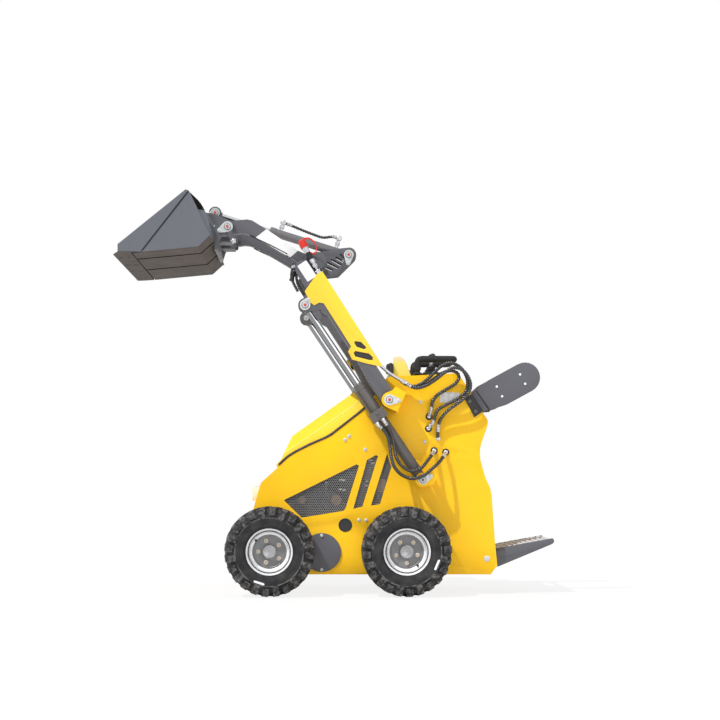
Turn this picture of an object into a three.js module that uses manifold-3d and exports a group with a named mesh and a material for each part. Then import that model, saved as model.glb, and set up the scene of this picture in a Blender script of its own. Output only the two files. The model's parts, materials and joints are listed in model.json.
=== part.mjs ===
// Stand-on wheel loader: a small skid-steer machine with a raised lift arm and a bucket.
// Millimetres. +X points to the rear (the machine faces -X), +Y to its right, +Z up.
// The origin is on the ground, midway between the axles, on the centre plane.
import * as THREE from 'three';
import { mergeVertices } from 'three/addons/utils/BufferGeometryUtils.js';
import Module from 'manifold-3d';

const wasm = await Module();
wasm.setup();

// ---------------------------------------------------------------- driving dimensions
const gap = 0.3;               // between pieces that touch
const runningGap = 0.5;        // between a pin or rod and its bore
const sideGap = 6;             // between plates that move past each other

const wheelbase = 693;
const tyre = { diameter: 457, width: 216, bead: 206, crown: 150, shoulder: 26 };
const rim = { flange: 238, barrel: 190, width: 170, disc: 12, discInset: 46 };
const hub = { radius: 42, shaft: 24, nose: 20 };
const axleHole = hub.shaft + 4;
const tyreToBody = 19;

const body = { halfWidth: 265, sheet: 6, bottom: 103 };
const axleZ = tyre.diameter / 2;
const tyreInner = body.halfWidth + tyreToBody;
const tyreCentre = tyreInner + tyre.width / 2;

const arm = { inner: body.halfWidth + 25, thickness: 70, halfDepth: 40 };
arm.outer = arm.inner + arm.thickness;
arm.middle = arm.inner + arm.thickness / 2;
const ear = { sheet: 12, inner: arm.outer + sideGap };
ear.outer = ear.inner + ear.sheet;

// Pivots in the side view: [x, z].
const armPivot = [262, 998];
const liftBase = [431, 591];
const elbowPoint = [-178, 1670];
const bucketPivot = [-570, 1899];
const tiltBase = [61, 1783];
const tiltEye = [-648, 2006];
const platformPivot = [770, 184];

const liftLug = { along: 640, forward: 94, radius: 36 };
const liftCylinder = {
  barrel: 30, length: 589, bore: 22, rod: 17, rodInside: 560, eye: 30, eyeWidth: 34, pin: 15,
};
const tiltCylinder = {
  barrel: 23, length: 440, bore: 17, rod: 13, rodInside: 470, eye: 28, eyeWidth: 40, pin: 13,
};
const portBlock = { from: 373, to: 425, front: 46, rear: 38, inner: 33, outer: 59 };
const crossTube = { back: 85, radius: 40, wall: 8 };
const upperArm = { inner: 190, thickness: 40, endRadius: 38, pin: 16 };
upperArm.outer = upperArm.inner + upperArm.thickness;
const pivotPin = 20;
const tiltBracket = { sheet: 14, inner: tiltCylinder.eyeWidth / 2 + sideGap };

const bucket = { width: 1050, sheet: 8, side: 8 };
const bucketHalf = bucket.width / 2;
const attach = { face: -622, back: -636.7, half: 250, earSheet: 12 };
const hoodShape = { half: 262, wall: 8, ridgeHalf: 244, topHalf: 178, ridge: 47, top: 106 };
const platform = { half: 208, flange: 8, deck: 8 };
const guard = { sheet: 8, width: 156 };

const roundSides = 20;
// How far a cutting bar stands out at each end.
const through = 5;

// ---------------------------------------------------------------- materials
const finish = (color, roughness, metalness) =>
  new THREE.MeshStandardMaterial({ color, roughness, metalness });
const yellow = finish('#ffd12a', 0.45, 0.1);
const paleYellow = finish('#fde26a', 0.45, 0.1);
const slate = finish('#7b7e86', 0.5, 0.3);
const warmGrey = finish('#6f6a69', 0.5, 0.3);
const chrome = finish('#c9ccd0', 0.2, 1);
const zinc = finish('#d4d6d8', 0.4, 0.8);
const silver = finish('#b9bcc0', 0.4, 0.7);
const rubber = finish('#34353a', 0.9, 0);
const black = finish('#1e1f22', 0.7, 0.1);
const hosePipe = finish('#26272b', 0.6, 0);
const lampWhite = finish('#f4f1e4', 0.3, 0);

// ---------------------------------------------------------------- solids
// A closed solid from a three.js geometry; faces that collapse to a line are left out.
function solid(geometry) {
  const bare = geometry.clone();
  bare.deleteAttribute('normal');
  bare.deleteAttribute('uv');
  const merged = mergeVertices(bare, 1e-3);
  const index = Array.from(merged.index.array);
  const triangles = [];
  for (let i = 0; i < index.length; i += 3) {
    const [a, b, c] = index.slice(i, i + 3);
    if (a !== b && b !== c && a !== c) triangles.push(a, b, c);
  }
  return new wasm.Manifold(new wasm.Mesh({
    numProp: 3,
    vertProperties: Float32Array.from(merged.attributes.position.array),
    triVerts: Uint32Array.from(triangles),
  }));
}

const join = (...parts) => parts.flat().reduce((whole, part) => whole.add(part));
const cut = (whole, ...parts) => parts.flat().reduce((rest, part) => rest.subtract(part), whole);

// An outline [[x, z], ...] in the side view, made solid from yMin to yMax.
function slab(outline, yA, yB) {
  const shape = new THREE.Shape(outline.map(([x, z]) => new THREE.Vector2(x, z)));
  const depth = Math.abs(yB - yA);
  const geometry = new THREE.ExtrudeGeometry(shape, { depth, bevelEnabled: false, steps: 1 });
  geometry.rotateX(Math.PI / 2);
  geometry.translate(0, Math.max(yA, yB), 0);
  return solid(geometry);
}

// An outline [[x, y], ...] in plan, made solid from zMin to zMax.
function planSlab(outline, zMin, zMax) {
  const shape = new THREE.Shape(outline.map(([x, y]) => new THREE.Vector2(x, y)));
  const geometry = new THREE.ExtrudeGeometry(shape, { depth: zMax - zMin, bevelEnabled: false, steps: 1 });
  geometry.translate(0, 0, zMin);
  return solid(geometry);
}

function block([xMin, xMax], [yA, yB], [zMin, zMax]) {
  const geometry = new THREE.BoxGeometry(xMax - xMin, Math.abs(yB - yA), zMax - zMin);
  geometry.translate((xMin + xMax) / 2, (yA + yB) / 2, (zMin + zMax) / 2);
  return solid(geometry);
}

// A round bar between two points.
function bar(from, to, radius, sides = roundSides) {
  const start = new THREE.Vector3(...from);
  const end = new THREE.Vector3(...to);
  const direction = end.clone().sub(start);
  const geometry = new THREE.CylinderGeometry(radius, radius, direction.length(), sides);
  const turn = new THREE.Quaternion().setFromUnitVectors(
    new THREE.Vector3(0, 1, 0), direction.clone().normalize());
  geometry.applyQuaternion(turn);
  geometry.translate(...start.add(end).multiplyScalar(0.5).toArray());
  return solid(geometry);
}
const crossBar = ([x, z], radius, yA, yB, sides = roundSides) =>
  bar([x, Math.min(yA, yB), z], [x, Math.max(yA, yB), z], radius, sides);
// The radius a faceted bore needs so that its flats clear a pin.
const boreFor = (pin, sides = roundSides) => (pin + runningGap) / Math.cos(Math.PI / sides);

// A tube through points, or a bent bar.
function sweep(points, radius, steps = points.length * 4, sides = 8, tension = 0.5) {
  const curve = new THREE.CatmullRomCurve3(
    points.map(p => new THREE.Vector3(...p)), false, 'catmullrom', tension);
  const ring = new THREE.Shape();
  ring.absarc(0, 0, radius, 0, Math.PI * 2);
  const section = new THREE.Shape(ring.getSpacedPoints(sides).slice(0, sides));
  return solid(new THREE.ExtrudeGeometry(section, { extrudePath: curve, steps, bevelEnabled: false }));
}

// A profile [[radius, offset], ...] turned about the line through [x, z] parallel to Y.
function turned(profile, [x, z], y, side, segments = 40) {
  const geometry = new THREE.LatheGeometry(
    profile.map(([r, h]) => new THREE.Vector2(r, h)), segments);
  if (side < 0) geometry.rotateX(Math.PI);
  geometry.translate(x, y, z);
  return solid(geometry);
}

// ---------------------------------------------------------------- outlines
function arc([x, z], radius, fromDeg, toDeg, count = 8) {
  const points = [];
  for (let i = 0; i <= count; i += 1) {
    const angle = THREE.MathUtils.degToRad(fromDeg + (toDeg - fromDeg) * i / count);
    points.push([x + radius * Math.cos(angle), z + radius * Math.sin(angle)]);
  }
  return points;
}
const bearing = ([x0, z0], [x1, z1]) => Math.atan2(z1 - z0, x1 - x0) * 180 / Math.PI;
const distance = ([x0, z0], [x1, z1]) => Math.hypot(x1 - x0, z1 - z0);

// A bar with two round ends: radius rA about a, rB about b.
function link(a, rA, b, rB, count = 8) {
  const along = bearing(a, b);
  const splay = Math.asin((rA - rB) / distance(a, b)) * 180 / Math.PI;
  return [
    ...arc(a, rA, along + 90 - splay, along + 270 + splay, count),
    ...arc(b, rB, along - 90 + splay, along + 90 - splay, count),
  ];
}

// A bent plate: a line of points given thickness to its left (positive) or right.
function strip(points, thickness) {
  const offset = points.map((point, i) => {
    const before = points[Math.max(i - 1, 0)];
    const after = points[Math.min(i + 1, points.length - 1)];
    const here = (i === 0) ? [point, after] : [before, point];
    const next = (i === points.length - 1) ? [before, point] : [point, after];
    const normals = [here, next].map(([p, q]) => {
      const length = distance(p, q);
      return [-(q[1] - p[1]) / length, (q[0] - p[0]) / length];
    });
    const sum = [normals[0][0] + normals[1][0], normals[0][1] + normals[1][1]];
    const scale = 2 / (sum[0] ** 2 + sum[1] ** 2);
    return [point[0] + sum[0] * scale * thickness, point[1] + sum[1] * scale * thickness];
  });
  return [...points, ...offset.reverse()];
}

// ---------------------------------------------------------------- the group
const loader = new THREE.Group();
function add(name, shape, material) {
  const { vertProperties, triVerts } = shape.getMesh();
  const geometry = new THREE.BufferGeometry();
  geometry.setAttribute('position', new THREE.BufferAttribute(Float32Array.from(vertProperties), 3));
  geometry.setIndex(new THREE.BufferAttribute(Uint32Array.from(triVerts), 1));
  geometry.computeVertexNormals();
  const mesh = new THREE.Mesh(geometry, material);
  mesh.name = name;
  loader.add(mesh);
}
const sides = [['left', -1], ['right', 1]];

// ---------------------------------------------------------------- wheels and axles
const axles = [['front', -wheelbase / 2], ['rear', wheelbase / 2]];
const half = tyre.width / 2;
const outerRadius = tyre.diameter / 2;
const shoulderRadius = outerRadius - tyre.shoulder;
const beadRadius = tyre.bead / 2;
const tyreProfile = [
  [beadRadius, -half + 22], [beadRadius + 18, -half + 6], [beadRadius + 62, -half],
  [shoulderRadius, -half + 8], [outerRadius - 8, -tyre.crown / 2], [outerRadius, -tyre.crown / 4],
  [outerRadius, tyre.crown / 4], [outerRadius - 8, tyre.crown / 2], [shoulderRadius, half - 8],
  [beadRadius + 62, half], [beadRadius + 18, half - 6], [beadRadius, half - 22],
  [beadRadius, -half + 22],
];
const rimHalf = rim.width / 2;
const flangeRadius = rim.flange / 2;
const barrelRadius = rim.barrel / 2;
const tyreSides = 36;
const rimSides = 24;
const seatRadius = beadRadius * Math.cos(Math.PI / tyreSides) - gap;
// The rim's barrel sits in the tyre; its disc faces outward, inset from the outer flange.
const discOuter = rimHalf - rim.discInset;
const discInner = discOuter - rim.disc;
const rimProfile = [
  [0, discInner], [barrelRadius - 8, discInner], [barrelRadius - 8, -rimHalf],
  [seatRadius, -rimHalf], [seatRadius, rimHalf], [barrelRadius + 2, rimHalf],
  [barrelRadius - 6, discOuter + 14], [70, discOuter], [hub.radius - 4, discOuter + 2],
  [hub.radius - 8, discOuter + hub.nose], [0, discOuter + hub.nose],
];
for (const [end, x] of axles) {
  for (const [sideName, side] of sides) {
    const centre = [x, axleZ];
    add(`tyre_${end}_${sideName}`, turned(tyreProfile, centre, side * tyreCentre, side, tyreSides), rubber);
    add(`rim_${end}_${sideName}`, turned(rimProfile, centre, side * tyreCentre, side, rimSides), silver);
  }
  // One shaft runs through both side panels to a hub flange behind each rim disc.
  const flangeFace = tyreCentre + discInner - gap;
  add(`axle_${end}`, join(
    crossBar([x, axleZ], hub.shaft, -flangeFace, flangeFace),
    crossBar([x, axleZ], hub.radius + 20, -flangeFace, -flangeFace + 14),
    crossBar([x, axleZ], hub.radius + 20, flangeFace - 14, flangeFace),
    crossBar([x, axleZ], hub.radius, -flangeFace, -body.halfWidth - gap),
    crossBar([x, axleZ], hub.radius, body.halfWidth + gap, flangeFace),
  ), warmGrey);
}

// ---------------------------------------------------------------- body panels
// The seam between side panel and hood, from the front corner back to the tower.
const seam = [[-302, 669], [-251, 713], [-152, 767], [-43, 817], [16, 861], [139, 957]];
const sealGap = 6;
// The nose keeps its distance ahead of the front axle.
const nose = ahead => -wheelbase / 2 - ahead;
const frontEdge = [
  [nose(53.5), 103], [nose(83.5), 130], [nose(108.5), 300], [nose(89.5), 437], [nose(53.5), 565],
  [nose(48.5), 577], [-305, 658],
];
const towerTop = [[251, 1116], [285, 1128], [384, 1128], [624, 1141]];
const rearEdge = [
  [637, 1117], [689, 1038], [752, 931], [766, 912], [773, 900], [775, 887], [771, 864], [757, 824],
  [741, 780], [735, 753], [733, 724], [737, 690], [746, 655], [763, 599], [787, 548], [794, 511],
  [813, 248], [823, 148], [789, 103],
];
const grilleWindow = [[-278, 486], [97, 671], [110, 664], [41, 446], [31, 431], [-186, 395]];
const slots = [
  [[151, 693], [198, 719], [208, 713], [127, 452], [80, 441]],
  [[255, 727], [277, 658], [218, 466], [171, 457]],
];
const exhaustHole = { at: [39, 357], radius: 34 };
const hosePorts = [[471, 917], [468, 855], [497, 741], [557, 733]];
const hosePort = 17;
const chainCover = { at: [-83, 216], radius: 100, thickness: 8 };
const panelOutline = [...frontEdge, ...seam, ...towerTop, ...rearEdge];
const inside = body.halfWidth - body.sheet;

for (const [sideName, side] of sides) {
  const inner = side * inside;
  const outer = side * body.halfWidth;
  const through = [side * (inside - 5), side * (body.halfWidth + 5)];
  add(`side_panel_${sideName}`, cut(
    slab(panelOutline, inner, outer),
    slab(grilleWindow, ...through),
    slots.map(outline => slab(outline, ...through)),
    crossBar(exhaustHole.at, exhaustHole.radius, ...through),
    hosePorts.map(at => crossBar(at, hosePort, ...through, 16)),
    axles.map(([, x]) => crossBar([x, axleZ], axleHole, ...through)),
  ), yellow);
  const grilleOutline = [[-290, 480], [100, 682], [196, 728], [262, 736], [286, 660], [222, 452],
    [40, 420], [-190, 384]];
  add(`grille_${sideName}`, slab(grilleOutline, side * (inside - gap), side * (inside - gap - 4)), black);
  add(`chain_cover_${sideName}`, crossBar(chainCover.at, chainCover.radius,
    side * (body.halfWidth + gap), side * (body.halfWidth + gap + chainCover.thickness), 40), slate);
}

const wallHalf = inside - gap;
const belly = { front: nose(53.5), rear: 724, top: body.bottom + body.sheet };
add('belly_plate', block([belly.front, belly.rear], [-wallHalf, wallHalf], [body.bottom, belly.top]), yellow);
// The front wall follows the front edge of the side panels.
const hoodHinge = { at: [-310, 667], radius: 5, half: 160, post: 18 };
const frontWall = [
  [nose(50.5), 112], [nose(80.5), 132], [nose(105.5), 300], [nose(86.5), 437], [nose(48.5), 568],
  [-308, 649],
];
add('front_panel', join(
  slab(strip(frontWall, -body.sheet), -wallHalf, wallHalf),
  crossBar(hoodHinge.at, hoodHinge.radius, -hoodHinge.half, hoodHinge.half, 16),
  sides.map(([, side]) => slab(link([-304, 648], 4, hoodHinge.at, hoodHinge.radius + 2, 6),
    side * hoodHinge.half, side * (hoodHinge.half - hoodHinge.post))),
), yellow);
const rearWall = [[700, 112], [700, 560], [664, 690], [664, 760], [700, 860], [664, 960], [612, 1060],
  [590, 1130]];
add('rear_panel', slab(strip(rearWall, body.sheet), -wallHalf, wallHalf), yellow);
// The tower's cover is bent once at the front and once over the controls.
const coverLevel = 1127;
const coverBend = 384;
const coverEnd = [585, 1139];
const coverSlope = (coverEnd[1] - coverLevel) / (coverEnd[0] - coverBend);
const coverZ = x => coverLevel + Math.max(0, x - coverBend) * coverSlope;
add('tower_top', slab(strip([[150, 968], [251, 1114], [286, coverLevel], [coverBend, coverLevel], coverEnd],
  -body.sheet), -wallHalf, wallHalf), yellow);

// The engine stands on the belly plate, behind the grilles.
const engine = { from: -240, to: 200, half: 200, top: 610, sumpTop: 290, sumpHalf: 250 };
const beltCover = { at: [-60, 430], radius: 105 };
add('engine', join(
  block([engine.from, engine.to], [-engine.half, engine.half], [engine.sumpTop, engine.top]),
  block([-180, 150], [-150, 150], [belly.top + gap, engine.sumpTop + 10]),
  sides.map(([, side]) => crossBar(beltCover.at, beltCover.radius, 0, side * engine.sumpHalf)),
  crossBar(exhaustHole.at, exhaustHole.radius - 8, -body.halfWidth + 4, 0, 20),
), black);

// ---------------------------------------------------------------- hood
// The hood's lower edge follows the seam; its section leans in twice on its way to the flat top.
const hoodSlope = THREE.MathUtils.degToRad(35);
const hoodFront = [[-302, 669 + sealGap], [-252, 784], [-235, 819]];
const hoodRear = [[87, 1048], [135, 957 + sealGap + 4]];
const hoodBottom = seam.slice(1, -1).map(([x, z]) => [x, z + sealGap]).reverse();
function hoodSolid(shrink) {
  const section = [
    [-(hoodShape.half - shrink), -300], [hoodShape.half - shrink, -300], [hoodShape.half - shrink, 0],
    [hoodShape.ridgeHalf - shrink, hoodShape.ridge], [hoodShape.topHalf - shrink * 0.5, hoodShape.top - shrink],
    [-(hoodShape.topHalf - shrink * 0.5), hoodShape.top - shrink],
    [-(hoodShape.ridgeHalf - shrink), hoodShape.ridge], [-(hoodShape.half - shrink), 0],
  ];
  const shape = new THREE.Shape(section.map(([y, h]) => new THREE.Vector2(y, h)));
  const prism = new THREE.ExtrudeGeometry(shape, { depth: 1200, bevelEnabled: false, steps: 1 });
  prism.translate(0, 0, -600);
  // Section width lies along Y, height across the slope and depth along it.
  const basis = new THREE.Matrix4().makeBasis(
    new THREE.Vector3(0, 1, 0),
    new THREE.Vector3(-Math.sin(hoodSlope), 0, Math.cos(hoodSlope)),
    new THREE.Vector3(Math.cos(hoodSlope), 0, Math.sin(hoodSlope)));
  prism.applyMatrix4(basis);
  prism.translate(-80, 0, 806);
  return solid(prism);
}
const hoodProfile = [...hoodFront, ...hoodRear, ...hoodBottom];
const hoodInside = [[-302 + 14, 640], [-252 + hoodShape.wall, 780], [-232 + hoodShape.wall, 816 - 6],
  [84, 1048 - 14], [123, 962], [123, 700]];
const hoodOuter = hoodSolid(0).intersect(slab(hoodProfile, -400, 400));
const hoodInner = hoodSolid(hoodShape.wall).intersect(slab(hoodInside, -400, 400));
const hingeLeaf = sides.map(([, side]) => slab(link(hoodHinge.at, hoodHinge.radius + 5, [-290, 694], 6, 6),
  side * (hoodHinge.half - hoodHinge.post - 2), side * (hoodHinge.half - hoodHinge.post - 22)));
add('hood', cut(join(cut(hoodOuter, hoodInner), hingeLeaf),
  crossBar(hoodHinge.at, boreFor(hoodHinge.radius, 16), -hoodHinge.half, hoodHinge.half, 16)), yellow);

// ---------------------------------------------------------------- lift arm
const armLength = distance(armPivot, elbowPoint);
const armDirection = [(elbowPoint[0] - armPivot[0]) / armLength, (elbowPoint[1] - armPivot[1]) / armLength];
// A point on the arm: distance along it from the pivot, and distance forward of its centre line.
const onArm = (along, forward) => [
  armPivot[0] + armDirection[0] * along - armDirection[1] * forward,
  armPivot[1] + armDirection[1] * along + armDirection[0] * forward,
];
const liftEye = onArm(liftLug.along, liftLug.forward);
const tubeCentre = onArm(armLength, -crossTube.back);

// The front edge is drawn in between the pivot and the lift lug.
const waist = arm.halfDepth - 15;
const armWaist = [[120, arm.halfDepth], [260, waist], [540, waist], [568, arm.halfDepth], [568, 60], [120, 60]]
  .map(([along, forward]) => onArm(along, forward));

function lowerArm(side) {
  const yInner = side * arm.inner;
  const yOuter = side * arm.outer;
  const beam = cut(slab(link(armPivot, arm.halfDepth, elbowPoint, arm.halfDepth, 10), yInner, yOuter),
    slab(armWaist, yInner - side * through, yOuter + side * through));
  const lugOutline = [
    onArm(liftLug.along - 70, arm.halfDepth - 10),
    ...arc(liftEye, liftLug.radius, bearing(elbowPoint, armPivot) - 20, bearing(elbowPoint, armPivot) - 200, 9),
    onArm(liftLug.along + 70, arm.halfDepth - 10),
  ];
  const eyeInner = arm.middle - liftCylinder.eyeWidth / 2 - sideGap;
  const eyeOuter = arm.middle + liftCylinder.eyeWidth / 2 + sideGap;
  const lugs = [
    slab(lugOutline, yInner, side * eyeInner),
    slab(lugOutline, side * eyeOuter, yOuter),
  ];
  const boreSpan = [side * (arm.inner - through), side * (arm.outer + through)];
  return cut(join(beam, lugs), crossBar(armPivot, boreFor(pivotPin), ...boreSpan));
}
for (const [sideName, side] of sides) add(`lift_arm_${sideName}`, lowerArm(side), slate);

// The cross tube joins both lower arms behind the elbow, through a gusset at each end.
const gussetOuter = arm.inner - gap;
const elbow = join(
  crossBar(tubeCentre, crossTube.radius, -gussetOuter, gussetOuter, 32),
  sides.map(([, side]) => slab(link(tubeCentre, crossTube.radius + 8, elbowPoint, arm.halfDepth - 2),
    side * gussetOuter, side * (gussetOuter - 12))),
);
add('elbow_tube', elbow, slate);

// The upper arm's side view: level at the bucket end, then sloping down to the cross tube.
const upperOutline = [
  ...arc(bucketPivot, upperArm.endRadius, 270, 95, 10),
  [-548, 1934], [-520, 1935], [-470, 1940], [-444, 1935], [-369, 1889], [-205, 1778],
  onArm(armLength + 30, -crossTube.back), onArm(armLength - 30, -crossTube.back), [-205, 1718], [-247, 1742],
  [-424, 1846], [-470, 1865], [-500, 1868.5], [-525, 1865],
];
const upperCollar = crossTube.radius + 12;
for (const [sideName, side] of sides) {
  const plate = join(slab(upperOutline, side * upperArm.inner, side * upperArm.outer),
    crossBar(tubeCentre, upperCollar, side * upperArm.inner, side * upperArm.outer, 32));
  const plateSpan = [side * (upperArm.inner - through), side * (upperArm.outer + through)];
  add(`upper_arm_${sideName}`, cut(plate,
    crossBar(tubeCentre, crossTube.radius + gap, ...plateSpan, 32),
    crossBar(bucketPivot, boreFor(upperArm.pin), ...plateSpan),
  ), slate);
}

// Two plates on the cross tube carry the tilt cylinder's base pin.
const bracketOutline = [[-151, 1788], [22, 1818], ...arc(tiltBase, 40, 80, -40, 8), [6, 1672], [-65, 1664],
  [-150, 1690]];
const bracketOuter = tiltBracket.inner + tiltBracket.sheet;
add('tilt_bracket', cut(join(
  sides.map(([, side]) => slab(bracketOutline, side * tiltBracket.inner, side * bracketOuter)),
  crossBar(tiltBase, tiltCylinder.pin, -bracketOuter - 8, bracketOuter + 8),
  crossBar([-40, 1690], 12, -bracketOuter, bracketOuter),
), crossBar(tubeCentre, crossTube.radius + gap, -100, 100, 32)), slate);

// Sheet covers over the outer faces of the lower arms.
const coverOutline = [[-80, 1654], [-110, 1636], [-169, 1552], [-142, 1496], [-121, 1480], [-96, 1494],
  [-73, 1491], [-22, 1412], [67, 1271], [52, 1245], [72, 1204], [148, 1183], [221, 1167], [225, 1176],
  [74, 1412]];
const coverSlots = [
  [[83, 1298], [117, 1294], [143, 1268], [107, 1269]],
  [[86, 1248], [159, 1234], [182, 1211], [156, 1210], [88, 1227]],
];
for (const [sideName, side] of sides) {
  const y = [side * (arm.outer + gap), side * (arm.outer + gap + 4)];
  add(`arm_cover_${sideName}`, cut(slab(coverOutline, ...y),
    coverSlots.map(outline => slab(outline, y[0] - side * 5, y[1] + side * 5))), paleYellow);
}

// Steel pipes behind the left arm, from the couplers at the elbow down to the hoses.
const pipe = { radius: 7, spacing: 20, behind: 56 };
const pipeRoute = [
  [armLength + 70, -pipe.behind - 10], [armLength - 40, -pipe.behind], [420, -pipe.behind],
  [190, -pipe.behind], [110, -78], [30, -117],
].map(([along, forward]) => onArm(along, forward));
const pipeRows = [-1, 0, 1].map(row => -(arm.middle + row * pipe.spacing));
const pipes = pipeRows.map(y => sweep(pipeRoute.map(([x, z]) => [x, y, z]), pipe.radius, 12, 8, 0.2));
const clamp = along => {
  const corners = [[along - 14, -arm.halfDepth - gap], [along + 14, -arm.halfDepth - gap],
    [along + 14, -pipe.behind - 12], [along - 14, -pipe.behind - 12]];
  return slab(corners.map(([a, f]) => onArm(a, f)), pipeRows[0] + 14, pipeRows[2] - 14);
};
add('arm_pipes', join(pipes, clamp(armLength - 60), clamp(450), clamp(220)), zinc);

// ---------------------------------------------------------------- cylinders
// A barrel pinned at its base and a rod pinned at its eye; fittings(at, direction) adds to the barrel.
function cylinder(names, base, eye, size, y, fittings) {
  const length = distance(base, eye);
  const direction = [(eye[0] - base[0]) / length, (eye[1] - base[1]) / length];
  const at = along => [base[0] + direction[0] * along, y, base[1] + direction[1] * along];
  const eyeSpan = [y - size.eyeWidth / 2, y + size.eyeWidth / 2];
  const neckEnd = at(size.eye + 16);
  const neck = slab(link(base, size.eye, [neckEnd[0], neckEnd[2]], size.barrel * 0.8), ...eyeSpan);
  const barrel = cut(
    join(bar(at(size.eye + 12), at(size.length), size.barrel), neck, ...fittings(at, direction)),
    bar(at(size.eye + 30), at(size.length - 24), size.bore),
    bar(at(size.length - 30), at(size.length + 10), boreFor(size.rod)),
    crossBar(base, boreFor(size.pin), eyeSpan[0] - 5, eyeSpan[1] + 5),
  );
  const rod = cut(join(
    bar(at(length - size.rodInside), at(length - size.eye * 0.5), size.rod),
    crossBar(eye, size.eye * 0.95, ...eyeSpan),
  ), crossBar(eye, boreFor(size.pin), eyeSpan[0] - 5, eyeSpan[1] + 5));
  add(names.barrel, barrel, warmGrey);
  add(names.rod, rod, chrome);
}
for (const [sideName, side] of sides) {
  const y = side * arm.middle;
  // The port block is a square collar that reaches outward past the barrel.
  const ports = (at, direction) => {
    const corner = (along, forward) => {
      const [x, , z] = at(along);
      return [x - direction[1] * forward, z + direction[0] * forward];
    };
    const outline = [corner(portBlock.from, -portBlock.rear), corner(portBlock.from, portBlock.front),
      corner(portBlock.to, portBlock.front), corner(portBlock.to, -portBlock.rear)];
    return [slab(outline, side * (arm.middle - portBlock.inner), side * (arm.middle + portBlock.outer))];
  };
  const names = { barrel: `lift_barrel_${sideName}`, rod: `lift_rod_${sideName}` };
  cylinder(names, liftBase, liftEye, liftCylinder, y, ports);
}
// The tilt cylinder carries its hose on two banjo fittings above the barrel: [along, height].
const banjos = [[385, 64], [76, 74]];
const banjo = { post: 8, head: 11 };
const tiltLength = distance(tiltBase, tiltEye);
const tiltDirection = [(tiltEye[0] - tiltBase[0]) / tiltLength, (tiltEye[1] - tiltBase[1]) / tiltLength];
const onTilt = (along, height) => [
  tiltBase[0] + tiltDirection[0] * along + tiltDirection[1] * height, 0,
  tiltBase[1] + tiltDirection[1] * along - tiltDirection[0] * height,
];
cylinder({ barrel: 'tilt_barrel', rod: 'tilt_rod' }, tiltBase, tiltEye, tiltCylinder, 0,
  () => banjos.flatMap(([along, height]) => [
    bar(onTilt(along, tiltCylinder.barrel - 3), onTilt(along, height), banjo.post, 12),
    crossBar([onTilt(along, height)[0], onTilt(along, height)[2]], banjo.head, -11, 11, 12),
  ]));

// ---------------------------------------------------------------- pivot brackets on the body
// Each bracket is an outer ear, a web from the ear's rear edge to the side panel, and the pivot pin.
// outline and web are side views; spacer is the outer end of the sleeve round the pin.
function pivotBracket(side, pivot, shape) {
  const outerFace = side * ear.outer;
  const panelFace = side * (body.halfWidth + gap);
  return join(
    slab(shape.outline, side * ear.inner, outerFace),
    slab(shape.web, panelFace, side * (ear.inner + ear.sheet / 2)),
    crossBar(pivot, shape.pin, panelFace, outerFace),
    crossBar(pivot, shape.pin + 12, panelFace, side * (shape.spacer - 1)));
}
const brackets = [
  ['arm_bracket', armPivot, {
    outline: [...arc(armPivot, 40, 100, 245, 8), [302, 936], [347, 1035], [292, 1065], [278, 1047]],
    web: [[302, 936], [347, 1035], [338, 1039], [293, 940]],
    pin: pivotPin, spacer: arm.inner,
  }],
  ['cylinder_bracket', liftBase, {
    outline: [...arc(liftBase, 38, 110, 275, 8), [482, 568], [504, 599], [506, 614], [482, 633]],
    web: [[482, 568], [504, 599], [497, 604], [475, 573]],
    pin: liftCylinder.pin, spacer: arm.middle - liftCylinder.eyeWidth / 2,
  }],
];
for (const [sideName, side] of sides) {
  for (const [name, pivot, shape] of brackets) {
    add(`${name}_${sideName}`, pivotBracket(side, pivot, shape), yellow);
  }
}

// ---------------------------------------------------------------- bucket and quick attach
const bucketLine = [[-1112, 1722], [-990, 1730], [-700, 1758], [-640, 1812], [-650, 1900], [-676, 1962],
  [-738, 2026]];
const bucketSide = [
  [-1102, 1733], [-1102, 1768], [-759, 2043], [-738, 2028], [-676, 1964], [-649, 1900], [-638, 1812],
  [-699, 1757], [-990, 1729]];
const cuttingEdge = [[-1125, 1716], [-1125, 1719], [-1100, 1732], [-980, 1744], [-980, 1730], [-1096, 1719]];
const mountPlate = [attach.back - 20, attach.back - gap];
add('bucket', join(
  slab(strip(bucketLine, bucket.sheet), -bucketHalf, bucketHalf),
  slab(cuttingEdge, -bucketHalf, bucketHalf),
  sides.map(([, side]) => slab(bucketSide, side * (bucketHalf - bucket.side), side * bucketHalf)),
  block(mountPlate, [-attach.half, attach.half], [1812, 1900]),
), slate);

const earLow = 1790;
// The plate is notched between the middle ears, where the rod dips as the bucket curls.
const rodNotch = { half: 26, bottom: 1878 };
const attachPlate = cut(
  join(
    block([attach.back, attach.face], [-attach.half, attach.half], [1781, 1908]),
    block([attach.back, attach.face], [-184, 184], [1781, 1940]),
  ),
  block([attach.back - 1, attach.face + 1], [-rodNotch.half, rodNotch.half], [rodNotch.bottom, 1941]),
);
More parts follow.
